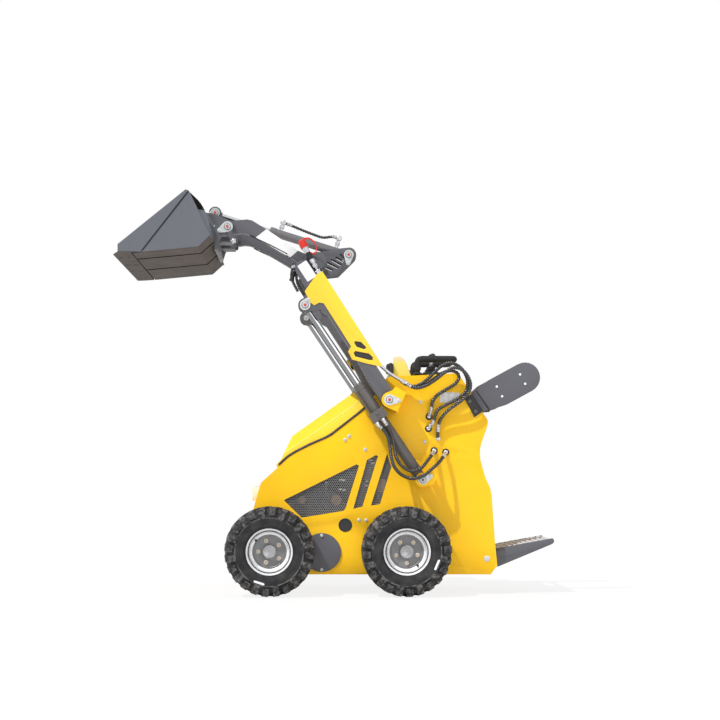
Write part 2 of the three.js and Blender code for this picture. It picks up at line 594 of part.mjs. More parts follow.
// The ears reach up behind the bucket's back; a floor joins them below the pivot.
const sideEar = [
  [attach.face - 6, earLow], [attach.face - 6, 1904], [attach.face - 20, 1911], [-652, 1930], [-664, 1956],
  [-671, 1970], [-650, 1969], [-614, 1956], [-556, 1931], [-541, 1922], [-539, 1856], [-546, 1848],
  [-600, 1848], [-610, 1832], [attach.face + 2, 1800],
];
const innerEar = [
  [attach.face - 6, earLow], [attach.face - 6, 1925], [-600, 1934], ...arc(bucketPivot, 36, 60, -60, 6),
  [-550, 1834], [-610, 1834], [attach.face + 2, 1800],
];
const floorPlate = { from: attach.face - 2, to: -550, low: 1831, high: 1837, notch: 60 };
const pinEar = [
  [attach.face - 6, 1860], [attach.face - 10, 1930], ...arc(tiltEye, 34, 170, -20, 8), [attach.face + 14, 1900],
  [attach.face - 2, 1860]];
const upperOuterEar = upperArm.outer + sideGap;
const upperInnerEar = upperArm.inner - sideGap;
const rodEarInner = tiltCylinder.eyeWidth / 2 + sideGap;
add('quick_attach', join(
  attachPlate,
  sides.map(([, side]) => slab(sideEar, side * upperOuterEar, side * (upperOuterEar + attach.earSheet))),
  sides.map(([, side]) => slab(innerEar, side * upperInnerEar, side * (upperInnerEar - attach.earSheet))),
  sides.map(([, side]) => block([floorPlate.from, floorPlate.to],
    [side * floorPlate.notch, side * upperInnerEar], [floorPlate.low, floorPlate.high])),
  sides.map(([, side]) => slab(pinEar, side * rodEarInner, side * (rodEarInner + attach.earSheet))),
  sides.map(([, side]) => crossBar(bucketPivot, upperArm.pin,
    side * (upperInnerEar - attach.earSheet), side * (upperOuterEar + attach.earSheet))),
), slate);

// ---------------------------------------------------------------- operator's station
const fin = { half: 8, rear: 400 };
add('console_fin', slab([
  [300, coverLevel + gap], [299, 1240], [304, 1246], [334, 1246], [349, 1238], [365, 1219],
  [fin.rear, coverZ(fin.rear) + gap], [coverBend, coverLevel + gap],
], -fin.half, fin.half), paleYellow);
const grip = { radius: 16, z: 1219, front: 417, rear: 620, half: 190, base: 22, reach: 150 };
const leverRows = [-60, 0, 60];
const deckZ = coverZ(grip.front + grip.reach) + gap;
const deckHalf = grip.half + grip.base;
const gripLine = [
  [grip.front, deckZ + 2], [grip.front, 1178], [grip.front + 10, 1208], [grip.front + 38, grip.z],
  [grip.rear - 40, grip.z], [grip.rear, grip.z],
];
add('controls', join(
  sides.map(([, side]) => sweep(gripLine.map(([x, z]) => [x, side * grip.half, z]), grip.radius, 10, 8, 0.4)),
  bar([grip.rear - 16, -grip.half, grip.z], [grip.rear - 16, grip.half, grip.z], grip.radius, 12),
  block([grip.front - grip.radius, grip.front + grip.reach], [-deckHalf, deckHalf], [deckZ, deckZ + 6]),
  block([450, 550], [-100, 100], [deckZ + 3, deckZ + 34]),
  leverRows.map(y => bar([500, y, 1165], [505, y, 1242], 7, 8)),
  leverRows.map(y => bar([504, y, 1236], [506, y, 1257], 14, 12)),
), black);

// Folding hip guards: a bracket bolted to the side panel and a round-ended plate on its hinge.
const guardAngle = 28.6;
const guardHinge = [[708, 1046], [777, 946]];
const hingeAngle = bearing(guardHinge[1], guardHinge[0]);
const hingeRadius = 8;
const guardEnd = [965, 1118];
const offHinge = ([x, z], distanceOff) => {
  const angle = hingeAngle * Math.PI / 180;
  return [x + distanceOff * Math.sin(angle), z - distanceOff * Math.cos(angle)];
};
const acrossGuard = (along, across) => {
  const angle = guardAngle * Math.PI / 180;
  return [guardEnd[0] + along * Math.cos(angle) - across * Math.sin(angle),
    guardEnd[1] + along * Math.sin(angle) + across * Math.cos(angle)];
};
for (const [sideName, side] of sides) {
  const panelFace = body.halfWidth + gap;
  const hingeY = side * (panelFace + hingeRadius);
  add(`guard_bracket_${sideName}`, join(
    slab([[654, 1010], [691, 1036], ...guardHinge, [748, 943], [705, 914]],
      side * panelFace, side * (panelFace + 6)),
    bar(...guardHinge.map(([x, z]) => [x, hingeY, z]), hingeRadius, 14)),
  black);
  const width = guard.width / 2;
  add(`guard_plate_${sideName}`, slab([
    offHinge(guardHinge[0], hingeRadius + gap * 2), offHinge(guardHinge[1], hingeRadius + gap * 2),
    acrossGuard(-150, -width), ...arc(guardEnd, width, guardAngle - 90, guardAngle + 90, 12),
    acrossGuard(-175, width),
  ], side * panelFace, side * (panelFace + guard.sheet)), slate);
}

// ---------------------------------------------------------------- platform
const flangeOutline = [
  ...arc(platformPivot, 30, 60, 240, 8), [832, 139], [1108, 254], [1118, 259.5], [1124, 267], [1125, 274],
  [1122, 283], [1115, 287], [824, 234],
];
const flangeSpan = [platform.half, platform.half - platform.flange];
const deckOutline = [[824, 228], [1112, 281], [1114, 272], [826, 219]];
const pinHalf = inside - gap;
add('platform', join(
  sides.map(([, side]) => slab(flangeOutline, side * flangeSpan[0], side * flangeSpan[1])),
  slab(deckOutline, -platform.half + 1, platform.half - 1),
  slab([[1104, 262], [1112, 281], [1121, 264]], -platform.half + 1, platform.half - 1),
  crossBar([845, 185], 14, -platform.half + 1, platform.half - 1, 16),
  crossBar(platformPivot, 12, -pinHalf, pinHalf, 16),
), slate);

// Two front lamps on a rail, fitted to the slope of the front wall.
const lamp = { front: nose(99.5), low: 481, high: 555, inner: 80, outer: 160 };
const wallX = z => frontWall[3][0] + (z - frontWall[3][1]) * (frontWall[4][0] - frontWall[3][0])
  / (frontWall[4][1] - frontWall[3][1]) - gap;
const lampOutline = [[lamp.front, lamp.low], [wallX(lamp.low), lamp.low], [wallX(lamp.high), lamp.high],
  [lamp.front, lamp.high]];
const railOutline = [[wallX(510) - 5, 510], [wallX(510), 510], [wallX(526), 526], [wallX(526) - 5, 526]];
add('front_lamps', join(
  sides.map(([, side]) => slab(lampOutline, side * lamp.inner, side * lamp.outer)),
  slab(railOutline, -lamp.outer, lamp.outer),
), lampWhite);

// ---------------------------------------------------------------- hoses
// Each hose follows its own chosen points: [x, distance out from the side panel's face, z].
const hoseRadius = 9.5;
const pipeEnd = onArm(30, -117);
const pipeBend = onArm(110, -78);
const pipeLast = distance(pipeBend, pipeEnd);
const afterPipe = (out, beyond = 0.8) => [
  pipeEnd[0] + (pipeEnd[0] - pipeBend[0]) * beyond / pipeLast, out,
  pipeEnd[1] + (pipeEnd[1] - pipeBend[1]) * beyond / pipeLast];
const armHoses = {
  hose_arm_outer: [
    afterPipe(80), afterPipe(80, 14), [377, 80, 1066], [408, 80, 1060], [459, 80, 1077], [505, 80, 1107],
    [545, 79, 1139],
    [586, 78, 1162], [620, 77, 1160], [648, 76, 1141], [668, 74, 1112], [678, 72, 1078], [672, 69, 1044],
    [647, 64, 1010], [613, 57, 982], [573, 48, 953], [539, 38, 919], [521, 29, 885], [516, 20, 851],
    [515, 12, 808],
  ],
  hose_arm_middle: [
    afterPipe(60), afterPipe(60, 14), [380, 60, 1070], [412, 60, 1075], [459, 60, 1106], [505, 60, 1152],
    [539, 60, 1178],
    [573, 59, 1189], [607, 58, 1180], [634, 57, 1160], [653, 55, 1132], [664, 53, 1098], [658, 49, 1048],
    [632, 45, 1020], [596, 40, 996], [550, 34, 973], [516, 30, 951], [502, 27, 925], [494, 22, 897],
    [484, 18, 878], [471, 9, 859], [468, -15, 855],
  ],
  hose_arm_inner: [
    afterPipe(40), afterPipe(40, 14), [379, 40, 1068], [408, 40, 1066], [459, 40, 1085], [505, 40, 1118],
    [545, 39, 1143],
    [585, 38, 1150], [614, 36, 1138], [622, 34, 1114], [609, 32, 1090], [579, 29, 1068], [539, 27, 1045],
    [505, 25, 1020], [488, 23, 993], [481, 20, 955], [473, 10, 922], [471, -15, 917],
  ],
};
const besidePanel = (points, side) => points.map(([x, out, z]) => [x, side * (body.halfWidth + out), z]);
for (const [name, points] of Object.entries(armHoses)) {
  add(name, sweep(besidePanel(points, -1), hoseRadius, 24, 8), hosePipe);
}

const liftDirection = [(liftEye[0] - liftBase[0]) / distance(liftBase, liftEye),
  (liftEye[1] - liftBase[1]) / distance(liftBase, liftEye)];
const atBlock = (forward, out, drop = gap) => {
  const along = portBlock.from - drop;
  return [liftBase[0] + liftDirection[0] * along - liftDirection[1] * forward, out,
    liftBase[1] + liftDirection[1] * along + liftDirection[0] * forward];
};
const cylinderHoses = {
  hose_lift_lower: [
    atBlock(32, 106), atBlock(32, 106, 24), [236, 107, 843], [253, 108, 812], [264, 113, 757], [271, 122, 704],
    [286, 129, 657], [322, 129, 617], [375, 128, 598], [434, 128, 613], [482, 115, 650], [522, 73, 686],
    [551, 20, 724], [557, -15, 733],
  ],
  hose_lift_upper: [
    atBlock(-4, 107), atBlock(-4, 107, 24), [259, 107, 850], [279, 109, 804], [288, 115, 743], [302, 125, 692],
    [331, 129, 656], [375, 129, 636], [420, 119, 650], [456, 80, 686], [490, 25, 730], [497, -15, 741],
  ],
};
for (const [sideName, side] of sides) {
  for (const [name, points] of Object.entries(cylinderHoses)) {
    add(`${name}_${sideName}`, sweep(besidePanel(points, side), hoseRadius, 18, 8), hosePipe);
  }
}
const tiltHoseStart = banjos[0][0] - banjo.head - 0.5;
const tiltHoseEnd = banjos[1][0] + banjo.head + 0.5;
const tiltHose = {
  radius: 7,
  points: [
    [tiltHoseStart, 64], [tiltHoseStart - 15, 64], [290, 58], [220, 53], [160, 53],
    [tiltHoseEnd + 30, 70], [tiltHoseEnd + 12, 74], [tiltHoseEnd, 74],
  ].map(([along, height]) => onTilt(along, height)),
};
add('hose_tilt', sweep(tiltHose.points, tiltHose.radius, 12, 8), hosePipe);

export default loader;
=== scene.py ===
"""Stand-on wheel loader: the looks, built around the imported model.

Shapes are in millimetres in the frame's axes, and solid_mesh() turns them into metres. The machine faces -X.
"""
import json
import math
from collections import defaultdict
from math import cos, dist, pi, radians, sin, sqrt

import bmesh
import bpy
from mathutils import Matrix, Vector


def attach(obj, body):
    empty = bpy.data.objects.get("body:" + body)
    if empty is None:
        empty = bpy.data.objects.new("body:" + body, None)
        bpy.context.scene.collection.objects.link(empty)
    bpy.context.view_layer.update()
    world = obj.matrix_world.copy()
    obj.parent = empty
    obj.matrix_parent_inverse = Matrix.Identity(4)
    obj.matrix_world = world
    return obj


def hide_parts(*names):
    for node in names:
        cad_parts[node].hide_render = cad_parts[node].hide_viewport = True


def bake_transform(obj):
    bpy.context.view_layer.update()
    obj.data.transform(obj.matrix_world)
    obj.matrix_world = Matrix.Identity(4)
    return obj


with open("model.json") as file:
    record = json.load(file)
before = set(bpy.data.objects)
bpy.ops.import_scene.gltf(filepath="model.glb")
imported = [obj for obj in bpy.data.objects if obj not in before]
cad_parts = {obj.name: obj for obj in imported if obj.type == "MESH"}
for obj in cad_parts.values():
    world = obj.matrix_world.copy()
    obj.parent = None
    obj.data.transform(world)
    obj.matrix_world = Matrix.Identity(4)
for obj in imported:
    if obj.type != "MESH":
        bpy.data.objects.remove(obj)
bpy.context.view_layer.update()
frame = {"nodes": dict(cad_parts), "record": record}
MM = 0.001
SIDES = (("left", -1), ("right", 1))
BOTH = (-1, 1)


def added(name, data):
    """A new object, linked to the scene."""
    obj = bpy.data.objects.new(name, data)
    bpy.context.scene.collection.objects.link(obj)
    return obj


# ---- camera, at the photograph's place
PHOTO_WIDTH = 720
camera = added("camera", bpy.data.cameras.new("camera"))
camera.location = (-0.0863, -8.223, 0.6156)
camera.rotation_euler = (radians(90), 0, 0)
camera.data.sensor_width = 36
camera.data.lens = 77.15
camera.data.shift_x = 39 / PHOTO_WIDTH
camera.data.shift_y = 115 / PHOTO_WIDTH
bpy.context.scene.camera = camera


# ---- shapes, each a (points, faces) pair
def lerp(a, b, t):
    return a + (b - a) * t


def polar(centre, radius, degrees):
    a = radians(degrees)
    return centre[0] + radius * cos(a), centre[1] + radius * sin(a)


def arc(centre, radius, start, stop, count=8):
    return [polar(centre, radius, lerp(start, stop, i / count)) for i in range(count + 1)]


def link(a, ra, b, rb, count=10):
    """The outline around two circles."""
    along = math.degrees(math.atan2(b[1] - a[1], b[0] - a[0]))
    splay = math.degrees(math.asin((ra - rb) / dist(a, b)))
    return (arc(a, ra, along + 90 - splay, along + 270 + splay, count)
            + arc(b, rb, along - 90 + splay, along + 90 - splay, count))


def corner(a, p, b, radius, share, count):
    """The corner p between a and b as a curve, which takes up no more than a share of either edge."""
    a, p, b = Vector(a), Vector(p), Vector(b)
    reach = min(radius, share * (a - p).length, share * (b - p).length)
    s, e = p + (a - p).normalized() * reach, p + (b - p).normalized() * reach
    return [tuple(s * (1 - t) ** 2 + p * 2 * t * (1 - t) + e * t * t) for t in (k / count for k in range(count + 1))]


def rounded(outline, radius):
    """The outline with each corner turned into a small arc."""
    corners = zip(outline[-1:] + outline[:-1], outline, outline[1:] + outline[:1])
    return [q for a, p, b in corners for q in corner(a, p, b, radius, 0.45, 4)]


def bend(line, radius, share=0.4):
    """An open line with its inner corners rounded."""
    inner = zip(line, line[1:], line[2:])
    return line[:1] + [q for a, p, b in inner for q in corner(a, p, b, radius, share, 5)] + line[-1:]


def basis(axis):
    w = Vector(axis).normalized()
    u = w.orthogonal().normalized()
    return u, w.cross(u), w


def extrude(outline, place, low, high):
    """place(a, b, c) gives the point for outline point (a, b) at depth c."""
    n = len(outline)
    points = [place(a, b, low) for a, b in outline] + [place(a, b, high) for a, b in outline]
    faces = [tuple(range(n))[::-1], tuple(range(n, 2 * n))]
    faces += [(i, (i + 1) % n, n + (i + 1) % n, n + i) for i in range(n)]
    return points, faces


def slab(outline, y0, y1):
    return extrude(outline, lambda x, z, y: (x, y, z), min(y0, y1), max(y0, y1))


def flank(outline, side, y0, y1):
    """A plate on one side of the machine, between two distances from its middle."""
    return slab(outline, side * y0, side * y1)


def flanks(outline, y0, y1):
    return [flank(outline, side, y0, y1) for side in BOTH]


def plan(outline, z0, z1):
    return extrude(outline, lambda x, y, z: (x, y, z), z0, z1)


def box(x, y, z):
    return plan([(x[0], min(y)), (x[1], min(y)), (x[1], max(y)), (x[0], max(y))], *z)


def turned(profile, at, axis=(0, 1, 0), segments=32, phase=0.0):
    """A profile of (radius, height) pairs turned about the axis through at."""
    u, v, w = basis(axis)
    at = Vector(at)
    points, faces, loops = [], [], []
    for r, h in profile:
        if r < 1e-6:
            loops.append([len(points)])
            points.append(tuple(at + w * h))
            continue
        loops.append(list(range(len(points), len(points) + segments)))
        for k in range(segments):
            a = 2 * pi * (k + phase) / segments
            points.append(tuple(at + w * h + (u * cos(a) + v * sin(a)) * r))
    for a, b in zip(loops, loops[1:]):
        for k in range(segments):
            q = [a[k % len(a)], a[(k + 1) % len(a)], b[(k + 1) % len(b)], b[k % len(b)]]
            q = tuple(dict.fromkeys(q))
            if len(q) > 2:
                faces.append(q)
    faces += [tuple(end) for end in (loops[0][::-1], loops[-1]) if len(end) > 1]
    return points, faces


def at_y(p, y):
    """The point p = (x, z) of a side view, at y."""
    return p[0], y, p[1]


def boss(profile, p, y, side, segments=28):
    """A turned shape that stands outward from a side of the machine, y from its middle, at p = (x, z)."""
    return turned(profile, at_y(p, side * y), (0, side, 0), segments)


def rod(a, b, radius, segments=24, chamfer=0.0):
    a, b = Vector(a), Vector(b)
    length = (b - a).length
    c = min(chamfer, radius * 0.4, length * 0.4)
    profile = [(radius, 0), (radius, length)]
    if c:
        profile = [(radius - c, 0), (radius, c), (radius, length - c), (radius - c, length)]
    return turned(profile, a, b - a, segments)


def ring(at, axis, radius, thick, segments=32):
    """A torus, eight-sided across."""
    sides = 8
    u, v, w = basis(axis)
    at = Vector(at)
    points, faces = [], []
    for i in range(segments):
        a = 2 * pi * i / segments
        out = u * cos(a) + v * sin(a)
        for k in range(sides):
            b = 2 * pi * k / sides
            points.append(tuple(at + out * (radius + thick * cos(b)) + w * thick * sin(b)))
    for i in range(segments):
        for k in range(sides):
            j, m = (i + 1) % segments, (k + 1) % sides
            faces.append((i * sides + k, j * sides + k, j * sides + m, i * sides + m))
    return points, faces


def between(a, b, from_t, to_t, t):
    return a * ((to_t - t) / (to_t - from_t)) + b * ((t - from_t) / (to_t - from_t))


def smooth_path(points, step):
    """A Catmull-Rom curve through the points, with a point about every step."""
    p = [Vector(q) for q in points]
    p = [p[0] * 2 - p[1]] + p + [p[-1] * 2 - p[-2]]
    out = []
    for a, b, c, d in zip(p, p[1:], p[2:], p[3:]):
        t1 = max((b - a).length, 1e-3) ** 0.5
        t2 = t1 + max((c - b).length, 1e-3) ** 0.5
        t3 = t2 + max((d - c).length, 1e-3) ** 0.5
        count = max(2, round((c - b).length / step))
        for k in range(count):
            t = lerp(t1, t2, k / count)
            middle = between(b, c, t1, t2, t)
            first = between(between(a, b, 0.0, t1, t), middle, 0.0, t2, t)
            last = between(middle, between(c, d, t2, t3, t), t1, t3, t)
            out.append(between(first, last, t1, t2, t))
    return out + [p[-2]]


def side_path(points, side, step):
    """A smooth path through (x, distance outward, z) points."""
    return smooth_path([(x, side * y, z) for x, y, z in points], step)


def tube(path, radius, sides=12, radius_at=None):
    """A tube with flat ends. radius_at(distance, turn) may vary its radius."""
    path = [Vector(p) for p in path]
    n = len(path)
    tangents = [(path[min(i + 1, n - 1)] - path[max(i - 1, 0)]).normalized() for i in range(n)]
    u = tangents[0].orthogonal().normalized()
    points, faces, far = [], [], 0.0
    for i, (p, t) in enumerate(zip(path, tangents)):
        u = (u - t * u.dot(t)).normalized()
        v = t.cross(u)
        far += (p - path[i - 1]).length if i else 0
        for k in range(sides):
            a = 2 * pi * k / sides
            r = radius_at(far, k / sides) if radius_at else radius
            points.append(tuple(p + (u * cos(a) + v * sin(a)) * r))
    for i in range(n - 1):
        for k in range(sides):
            m = (k + 1) % sides
            faces.append((i * sides + k, i * sides + m, (i + 1) * sides + m, (i + 1) * sides + k))
    faces += [tuple(range(sides))[::-1], tuple(range((n - 1) * sides, n * sides))]
    return points, faces


def hex_bolt(at, axis, size=8.0, head=5.5):
    """A flanged hexagon bolt; size is half its width."""
    return [turned([(size * 1.3, 0), (size * 1.3, 1.2), (size * 1.1, 2)], at, axis, 20),
            turned([(size * 1.1, 1.5), (size * 1.1, head - 1), (size * 0.9, head)], at, axis, 6),
            turned([(size * 0.55, head - 0.5), (size * 0.5, head + 1.4), (0, head + 1.8)], at, axis, 12)]


def joined(parts):
    points, faces = [], []
    for p, f in parts:
        faces += [tuple(i + len(points) for i in face) for face in f]
        points += p
    return points, faces


# ---- pieces
SLOTS = {}


def solid_mesh(name, parts):
    """A mesh in metres from one shape or a list of shapes."""
    points, faces = joined(parts if isinstance(parts, list) else [parts])
    mesh = bpy.data.meshes.new(name)
    mesh.from_pydata([(x * MM, y * MM, z * MM) for x, y, z in points], [], faces)
    bm = bmesh.new()
    bm.from_mesh(mesh)
    bmesh.ops.recalc_face_normals(bm, faces=bm.faces)
    bm.to_mesh(mesh)
    bm.free()
    return mesh


def carve(obj, parts):
    """Cuts the shapes out of the piece."""
    cutter = added("cutter", solid_mesh("cutter", parts))
    m = obj.modifiers.new("cut", "BOOLEAN")
    m.operation = "DIFFERENCE"
    m.solver = "EXACT"
    m.object = cutter
    bpy.context.view_layer.update()
    done = bpy.data.meshes.new_from_object(obj.evaluated_get(bpy.context.evaluated_depsgraph_get()))
    obj.modifiers.remove(m)
    obj.data = done
    bpy.data.objects.remove(cutter)


def dress(obj, material, body, replaces, bevel, angle, slot, cutters):
    """The piece's cuts, material, edges and body. A large bevel gets one segment more. Its slot, its material's unless
    one is given, is looked up but not kept.
    """
    if cutters:
        carve(obj, cutters)
    obj.data.materials.clear()
    obj.data.materials.append(material)
    for polygon in obj.data.polygons:
        polygon.use_smooth = True
    if bevel:
        m = obj.modifiers.new("bevel", "BEVEL")
        m.width = bevel * MM
        m.segments = 3 if bevel > 2.5 else 2
        m.limit_method = "ANGLE"
        m.angle_limit = radians(angle)
        m.harden_normals = True
        m.use_clamp_overlap = True
    elif angle:
        obj.data.set_sharp_from_angle(angle=radians(angle))
    slot = slot or SLOTS[material.name]
    if replaces:
        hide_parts(*replaces)
    if body:
        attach(obj, body)
    return obj


def make(name, parts, material, body="chassis", replaces=(), bevel=0.0, angle=32, slot=None, cutters=None):
    """One piece. Its slot goes to dress(), which looks it up but does not keep it."""
    return dress(added(name, solid_mesh(name, parts)), material, body, replaces, bevel, angle, slot, cutters)


def body_of(node):
    return next(b for b, names in frame["record"]["behaviour"]["bodies"].items() if node in names)


def refined(node, material, bevel=1.5, angle=32, cutters=None):
    """A copy of a CAD node with its edges rounded, standing for the node."""
    mesh = frame["nodes"][node].data.copy()
    obj = added(f"{node}_fine", mesh)
    bm = bmesh.new()
    bm.from_mesh(mesh)
    bmesh.ops.remove_doubles(bm, verts=bm.verts, dist=2e-6)
    bmesh.ops.dissolve_limit(bm, angle_limit=radians(0.8), verts=bm.verts, edges=bm.edges)
    bm.to_mesh(mesh)
    bm.free()
    dress(obj, material, body_of(node), (node,), bevel, angle, None, cutters)


# ---- finishes
def fill(node, inputs):
    """Sets or links a shader node's inputs."""
    for key, value in inputs.items():
        if isinstance(value, bpy.types.NodeSocket):
            node.id_data.links.new(value, node.inputs[key])
        else:
            node.inputs[key].default_value = value
    return node


def new_node(tree, kind, inputs=None, **settings):
    node = tree.nodes.new("ShaderNode" + kind)
    for key, value in settings.items():
        setattr(node, key, value)
    return fill(node, inputs or {})


def finish(name, slot, color, rough=0.4, metal=0.0, coat=0.0, tone=0.05, tone_scale=5.0, grain=0.15,
           grain_scale=700.0, dust=0.0, dust_color=(0.55, 0.5, 0.43), wear=0.0, wear_color=(0.6, 0.6, 0.6),
           streak=None, specular=0.5):
    """Paint, metal or rubber: tone drift, fine grain, dust that gathers in patches, and worn edges."""
    material = bpy.data.materials.new(name)
    SLOTS[material.name] = slot
    material.use_nodes = True
    tree = material.node_tree
    place = new_node(tree, "TexCoord").outputs["Object"]

    def noise(scale, detail=3.0, stretch=None):
        source = place
        if stretch:
            source = new_node(tree, "Mapping", {"Scale": stretch, "Vector": place}).outputs["Vector"]
        return new_node(tree, "TexNoise", {"Scale": scale, "Detail": detail, "Vector": source}).outputs["Fac"]

    def spread(source, low, high, out_low, out_high):
        return new_node(tree, "MapRange", {"Value": source, "From Min": low, "From Max": high, "To Min": out_low,
                                           "To Max": out_high}).outputs["Result"]

    def mix(factor, a, b):
        a, b = ((*c, 1) if isinstance(c, tuple) else c for c in (a, b))
        return new_node(tree, "Mix", {0: factor, 6: a, 7: b}, data_type="RGBA").outputs[2]

    dark = tuple(c * (1 - tone) for c in color)
    light = tuple(min(1.0, c * (1 + tone)) for c in color)
    tinted = mix(spread(noise(tone_scale), 0.35, 0.65, 0, 1), dark, light)
    roughness = spread(noise(tone_scale * 4), 0.3, 0.7, max(0.02, rough - 0.07), rough + 0.07)
    if dust:
        tinted = mix(spread(noise(14, 6), 0.45, 0.75, 0, dust), tinted, dust_color)
    if wear:
        edge = spread(new_node(tree, "NewGeometry").outputs["Pointiness"], 0.515, 0.56, 0, wear)
        broken = {0: edge, 1: spread(noise(60, 5), 0.42, 0.6, 0, 1)}
        tinted = mix(new_node(tree, "Math", broken, operation="MULTIPLY").outputs[0], tinted, wear_color)
    bump = new_node(tree, "Bump", {"Strength": grain, "Distance": 0.0006, "Height": noise(grain_scale, 4, streak)})
    fill(tree.nodes["Principled BSDF"], {
        "Metallic": metal, "Coat Weight": coat, "Coat Roughness": 0.12, "Specular IOR Level": specular,
        "Base Color": tinted, "Roughness": roughness, "Normal": bump.outputs["Normal"]})
    return material


def painted_dark_underside(material, up, dark):
    """Painted reflection and shade: the base colour darkens on the side of a rod that faces down, away from a
    direction.
    """
    tree = material.node_tree
    shader = tree.nodes["Principled BSDF"]
    color = shader.inputs["Base Color"].links[0].from_socket
    normal = new_node(tree, "NewGeometry").outputs["Normal"]
    facing = new_node(tree, "VectorMath", {0: normal, 1: up}, operation="DOT_PRODUCT").outputs["Value"]
    share = new_node(tree, "MapRange", {"Value": facing, "From Min": 0.02, "From Max": 0.42, "To Min": dark,
                                        "To Max": 1.0}, interpolation_type="SMOOTHSTEP").outputs[0]
    shaded = new_node(tree, "VectorMath", {0: color, "Scale": share}, operation="SCALE")
    fill(shader, {"Base Color": shaded.outputs["Vector"]})


COAT = dict(tone=0.02, grain=0.10, grain_scale=420, specular=0.25)
BODY_COAT = dict(COAT, tone=0.03, dust=0.02)
SLATE_COAT = dict(tone=0.02, tone_scale=3, grain=0.14, grain_scale=520)
GLOSS = dict(coat=0.1, grain=0.12, grain_scale=420)
YELLOW = finish("yellow_powder_coat", "body_yellow", (1.0, 0.56, 0.006), 0.42, **BODY_COAT)
HOOD = finish("hood_yellow_paint", "body_yellow", (1.0, 0.625, 0.03), 0.40, **BODY_COAT)
FIN = finish("light_yellow_paint", "cover_yellow", (1.0, 0.90, 0.22), 0.42, **COAT)
CREAM = finish("cream_paint", "cover_yellow", (1.0, 0.86, 0.52), 0.42, **COAT)
PALE = finish("pale_yellow_powder_coat", "cover_yellow", (1.0, 0.64, 0.05), 0.42, **COAT)
SLATE = finish("slate_powder_coat", "frame_grey", (0.112, 0.113, 0.127), 0.46, specular=0.3, **SLATE_COAT)
BUCKET = finish("bucket_powder_coat", "frame_grey", (0.150, 0.156, 0.180), 0.5, specular=0.08, **SLATE_COAT)
# Partly painted shade: a darker, browner slate for the bucket's underside and edge stands for the shade and ground
# reflection there, besides scuffs and dust.
BELLY = finish("scuffed_and_shaded_slate", "frame_grey", (0.098, 0.085, 0.078), 0.6, tone=0.10, tone_scale=7, grain=0.3,
               grain_scale=260, dust=0.10, dust_color=(0.14, 0.11, 0.09), specular=0.03)
# Painted shade: a dark grey for a line and a sheet that stand for shade.
SHADE = finish("painted_shade_grey", "black_parts", (0.050, 0.050, 0.053), 0.6, tone=0.1, grain=0.2, specular=0.1)
# Painted shade: a near-black for strips and sheets that stand for shade in gaps, recesses, corners and behind the
# grilles.
SHADE_BLACK = finish("painted_shade_black", "black_parts", (0.012, 0.011, 0.011), 0.9, tone=0.1, grain=0.2, specular=0.0)
BARREL = finish("warm_grey_paint", "cylinder_grey", (0.105, 0.096, 0.092), 0.38, tone=0.08, **GLOSS)
LIGHT_BARREL = finish("pale_grey_paint", "cylinder_grey", (0.17, 0.165, 0.175), 0.42, tone=0.06, **GLOSS)
# Partly painted shade: the disc is a darker grey than the rim's silver, for the shade inside the rim as well as its own
# paint.
DISC_GREY = finish("wheel_disc_paint_and_shade", "wheel_silver", (0.19, 0.19, 0.195), 0.4, metal=0.3, tone=0.08, grain=0.2,
                   grain_scale=600, dust=0.1)
CAST = finish("turned_cap", "wheel_silver", (0.36, 0.36, 0.37), 0.36, metal=0.7, tone=0.12, tone_scale=30,
              grain=0.3, grain_scale=300)
CHROME = finish("hard_chrome", "rod_chrome", (0.78, 0.79, 0.81), 0.14, metal=1.0, tone=0.03, grain=0.04,
                streak=(1, 1, 0.15))
# Painted dark reflection and shade on the chrome rods' lower sides.
painted_dark_underside(CHROME, (0.62, -0.25, 0.74), 0.34)
ZINC = finish("zinc_plate", "pipe_zinc", (0.62, 0.63, 0.65), 0.34, metal=0.9, tone=0.09, tone_scale=40,
              grain=0.1, grain_scale=500)
PALE_ZINC = finish("pale_zinc_plate", "pipe_zinc", (0.60, 0.63, 0.64), 0.45, metal=0.35, tone=0.08, tone_scale=60)
BRASS = finish("yellow_zinc_plate", "pipe_zinc", (0.62, 0.48, 0.30), 0.35, metal=0.9, tone=0.15, tone_scale=70,
               grain=0.12)
WHEEL = finish("wheel_silver_paint", "wheel_silver", (0.86, 0.87, 0.89), 0.36, metal=0.2, grain=0.2,
               grain_scale=600, dust=0.15, dust_color=(0.33, 0.32, 0.31))
TREAD = finish("tyre_rubber", "tyre_rubber", (0.022, 0.0225, 0.025), 0.72, tone=0.22, tone_scale=18, grain=0.5,
               grain_scale=300, dust=0.35, dust_color=(0.12, 0.11, 0.10), wear=0.6, wear_color=(0.25, 0.24, 0.23),
               specular=0.22)
HOSE = finish("hose_rubber", "hose_rubber", (0.010, 0.010, 0.012), 0.26, tone=0.2, tone_scale=30, grain=0.12,
              grain_scale=900, specular=0.9)
BLACK = finish("satin_black", "black_parts", (0.018, 0.018, 0.02), 0.48, tone=0.15, tone_scale=20, grain=0.2,
               grain_scale=600)
FOAM = finish("foam_grip", "black_parts", (0.02, 0.02, 0.022), 0.85, tone=0.15, tone_scale=40, grain=0.7,
              grain_scale=900)
ENGINE = finish("cast_engine", "black_parts", (0.022, 0.022, 0.024), 0.5, metal=0.4, tone=0.3, tone_scale=20,
                grain=0.5, grain_scale=200)
PLASTIC = finish("milky_plastic", "lamp_lens", (0.62, 0.62, 0.6), 0.5, grain=0.1)
MESH = finish("grey_perforated_sheet", "black_parts", (0.30, 0.30, 0.30), 0.45, metal=0.2, tone=0.1, grain=0.1)
COPPER = finish("rusty_pulley", "black_parts", (0.25, 0.14, 0.08), 0.6, metal=0.5, tone=0.3, tone_scale=40,
                grain=0.4)
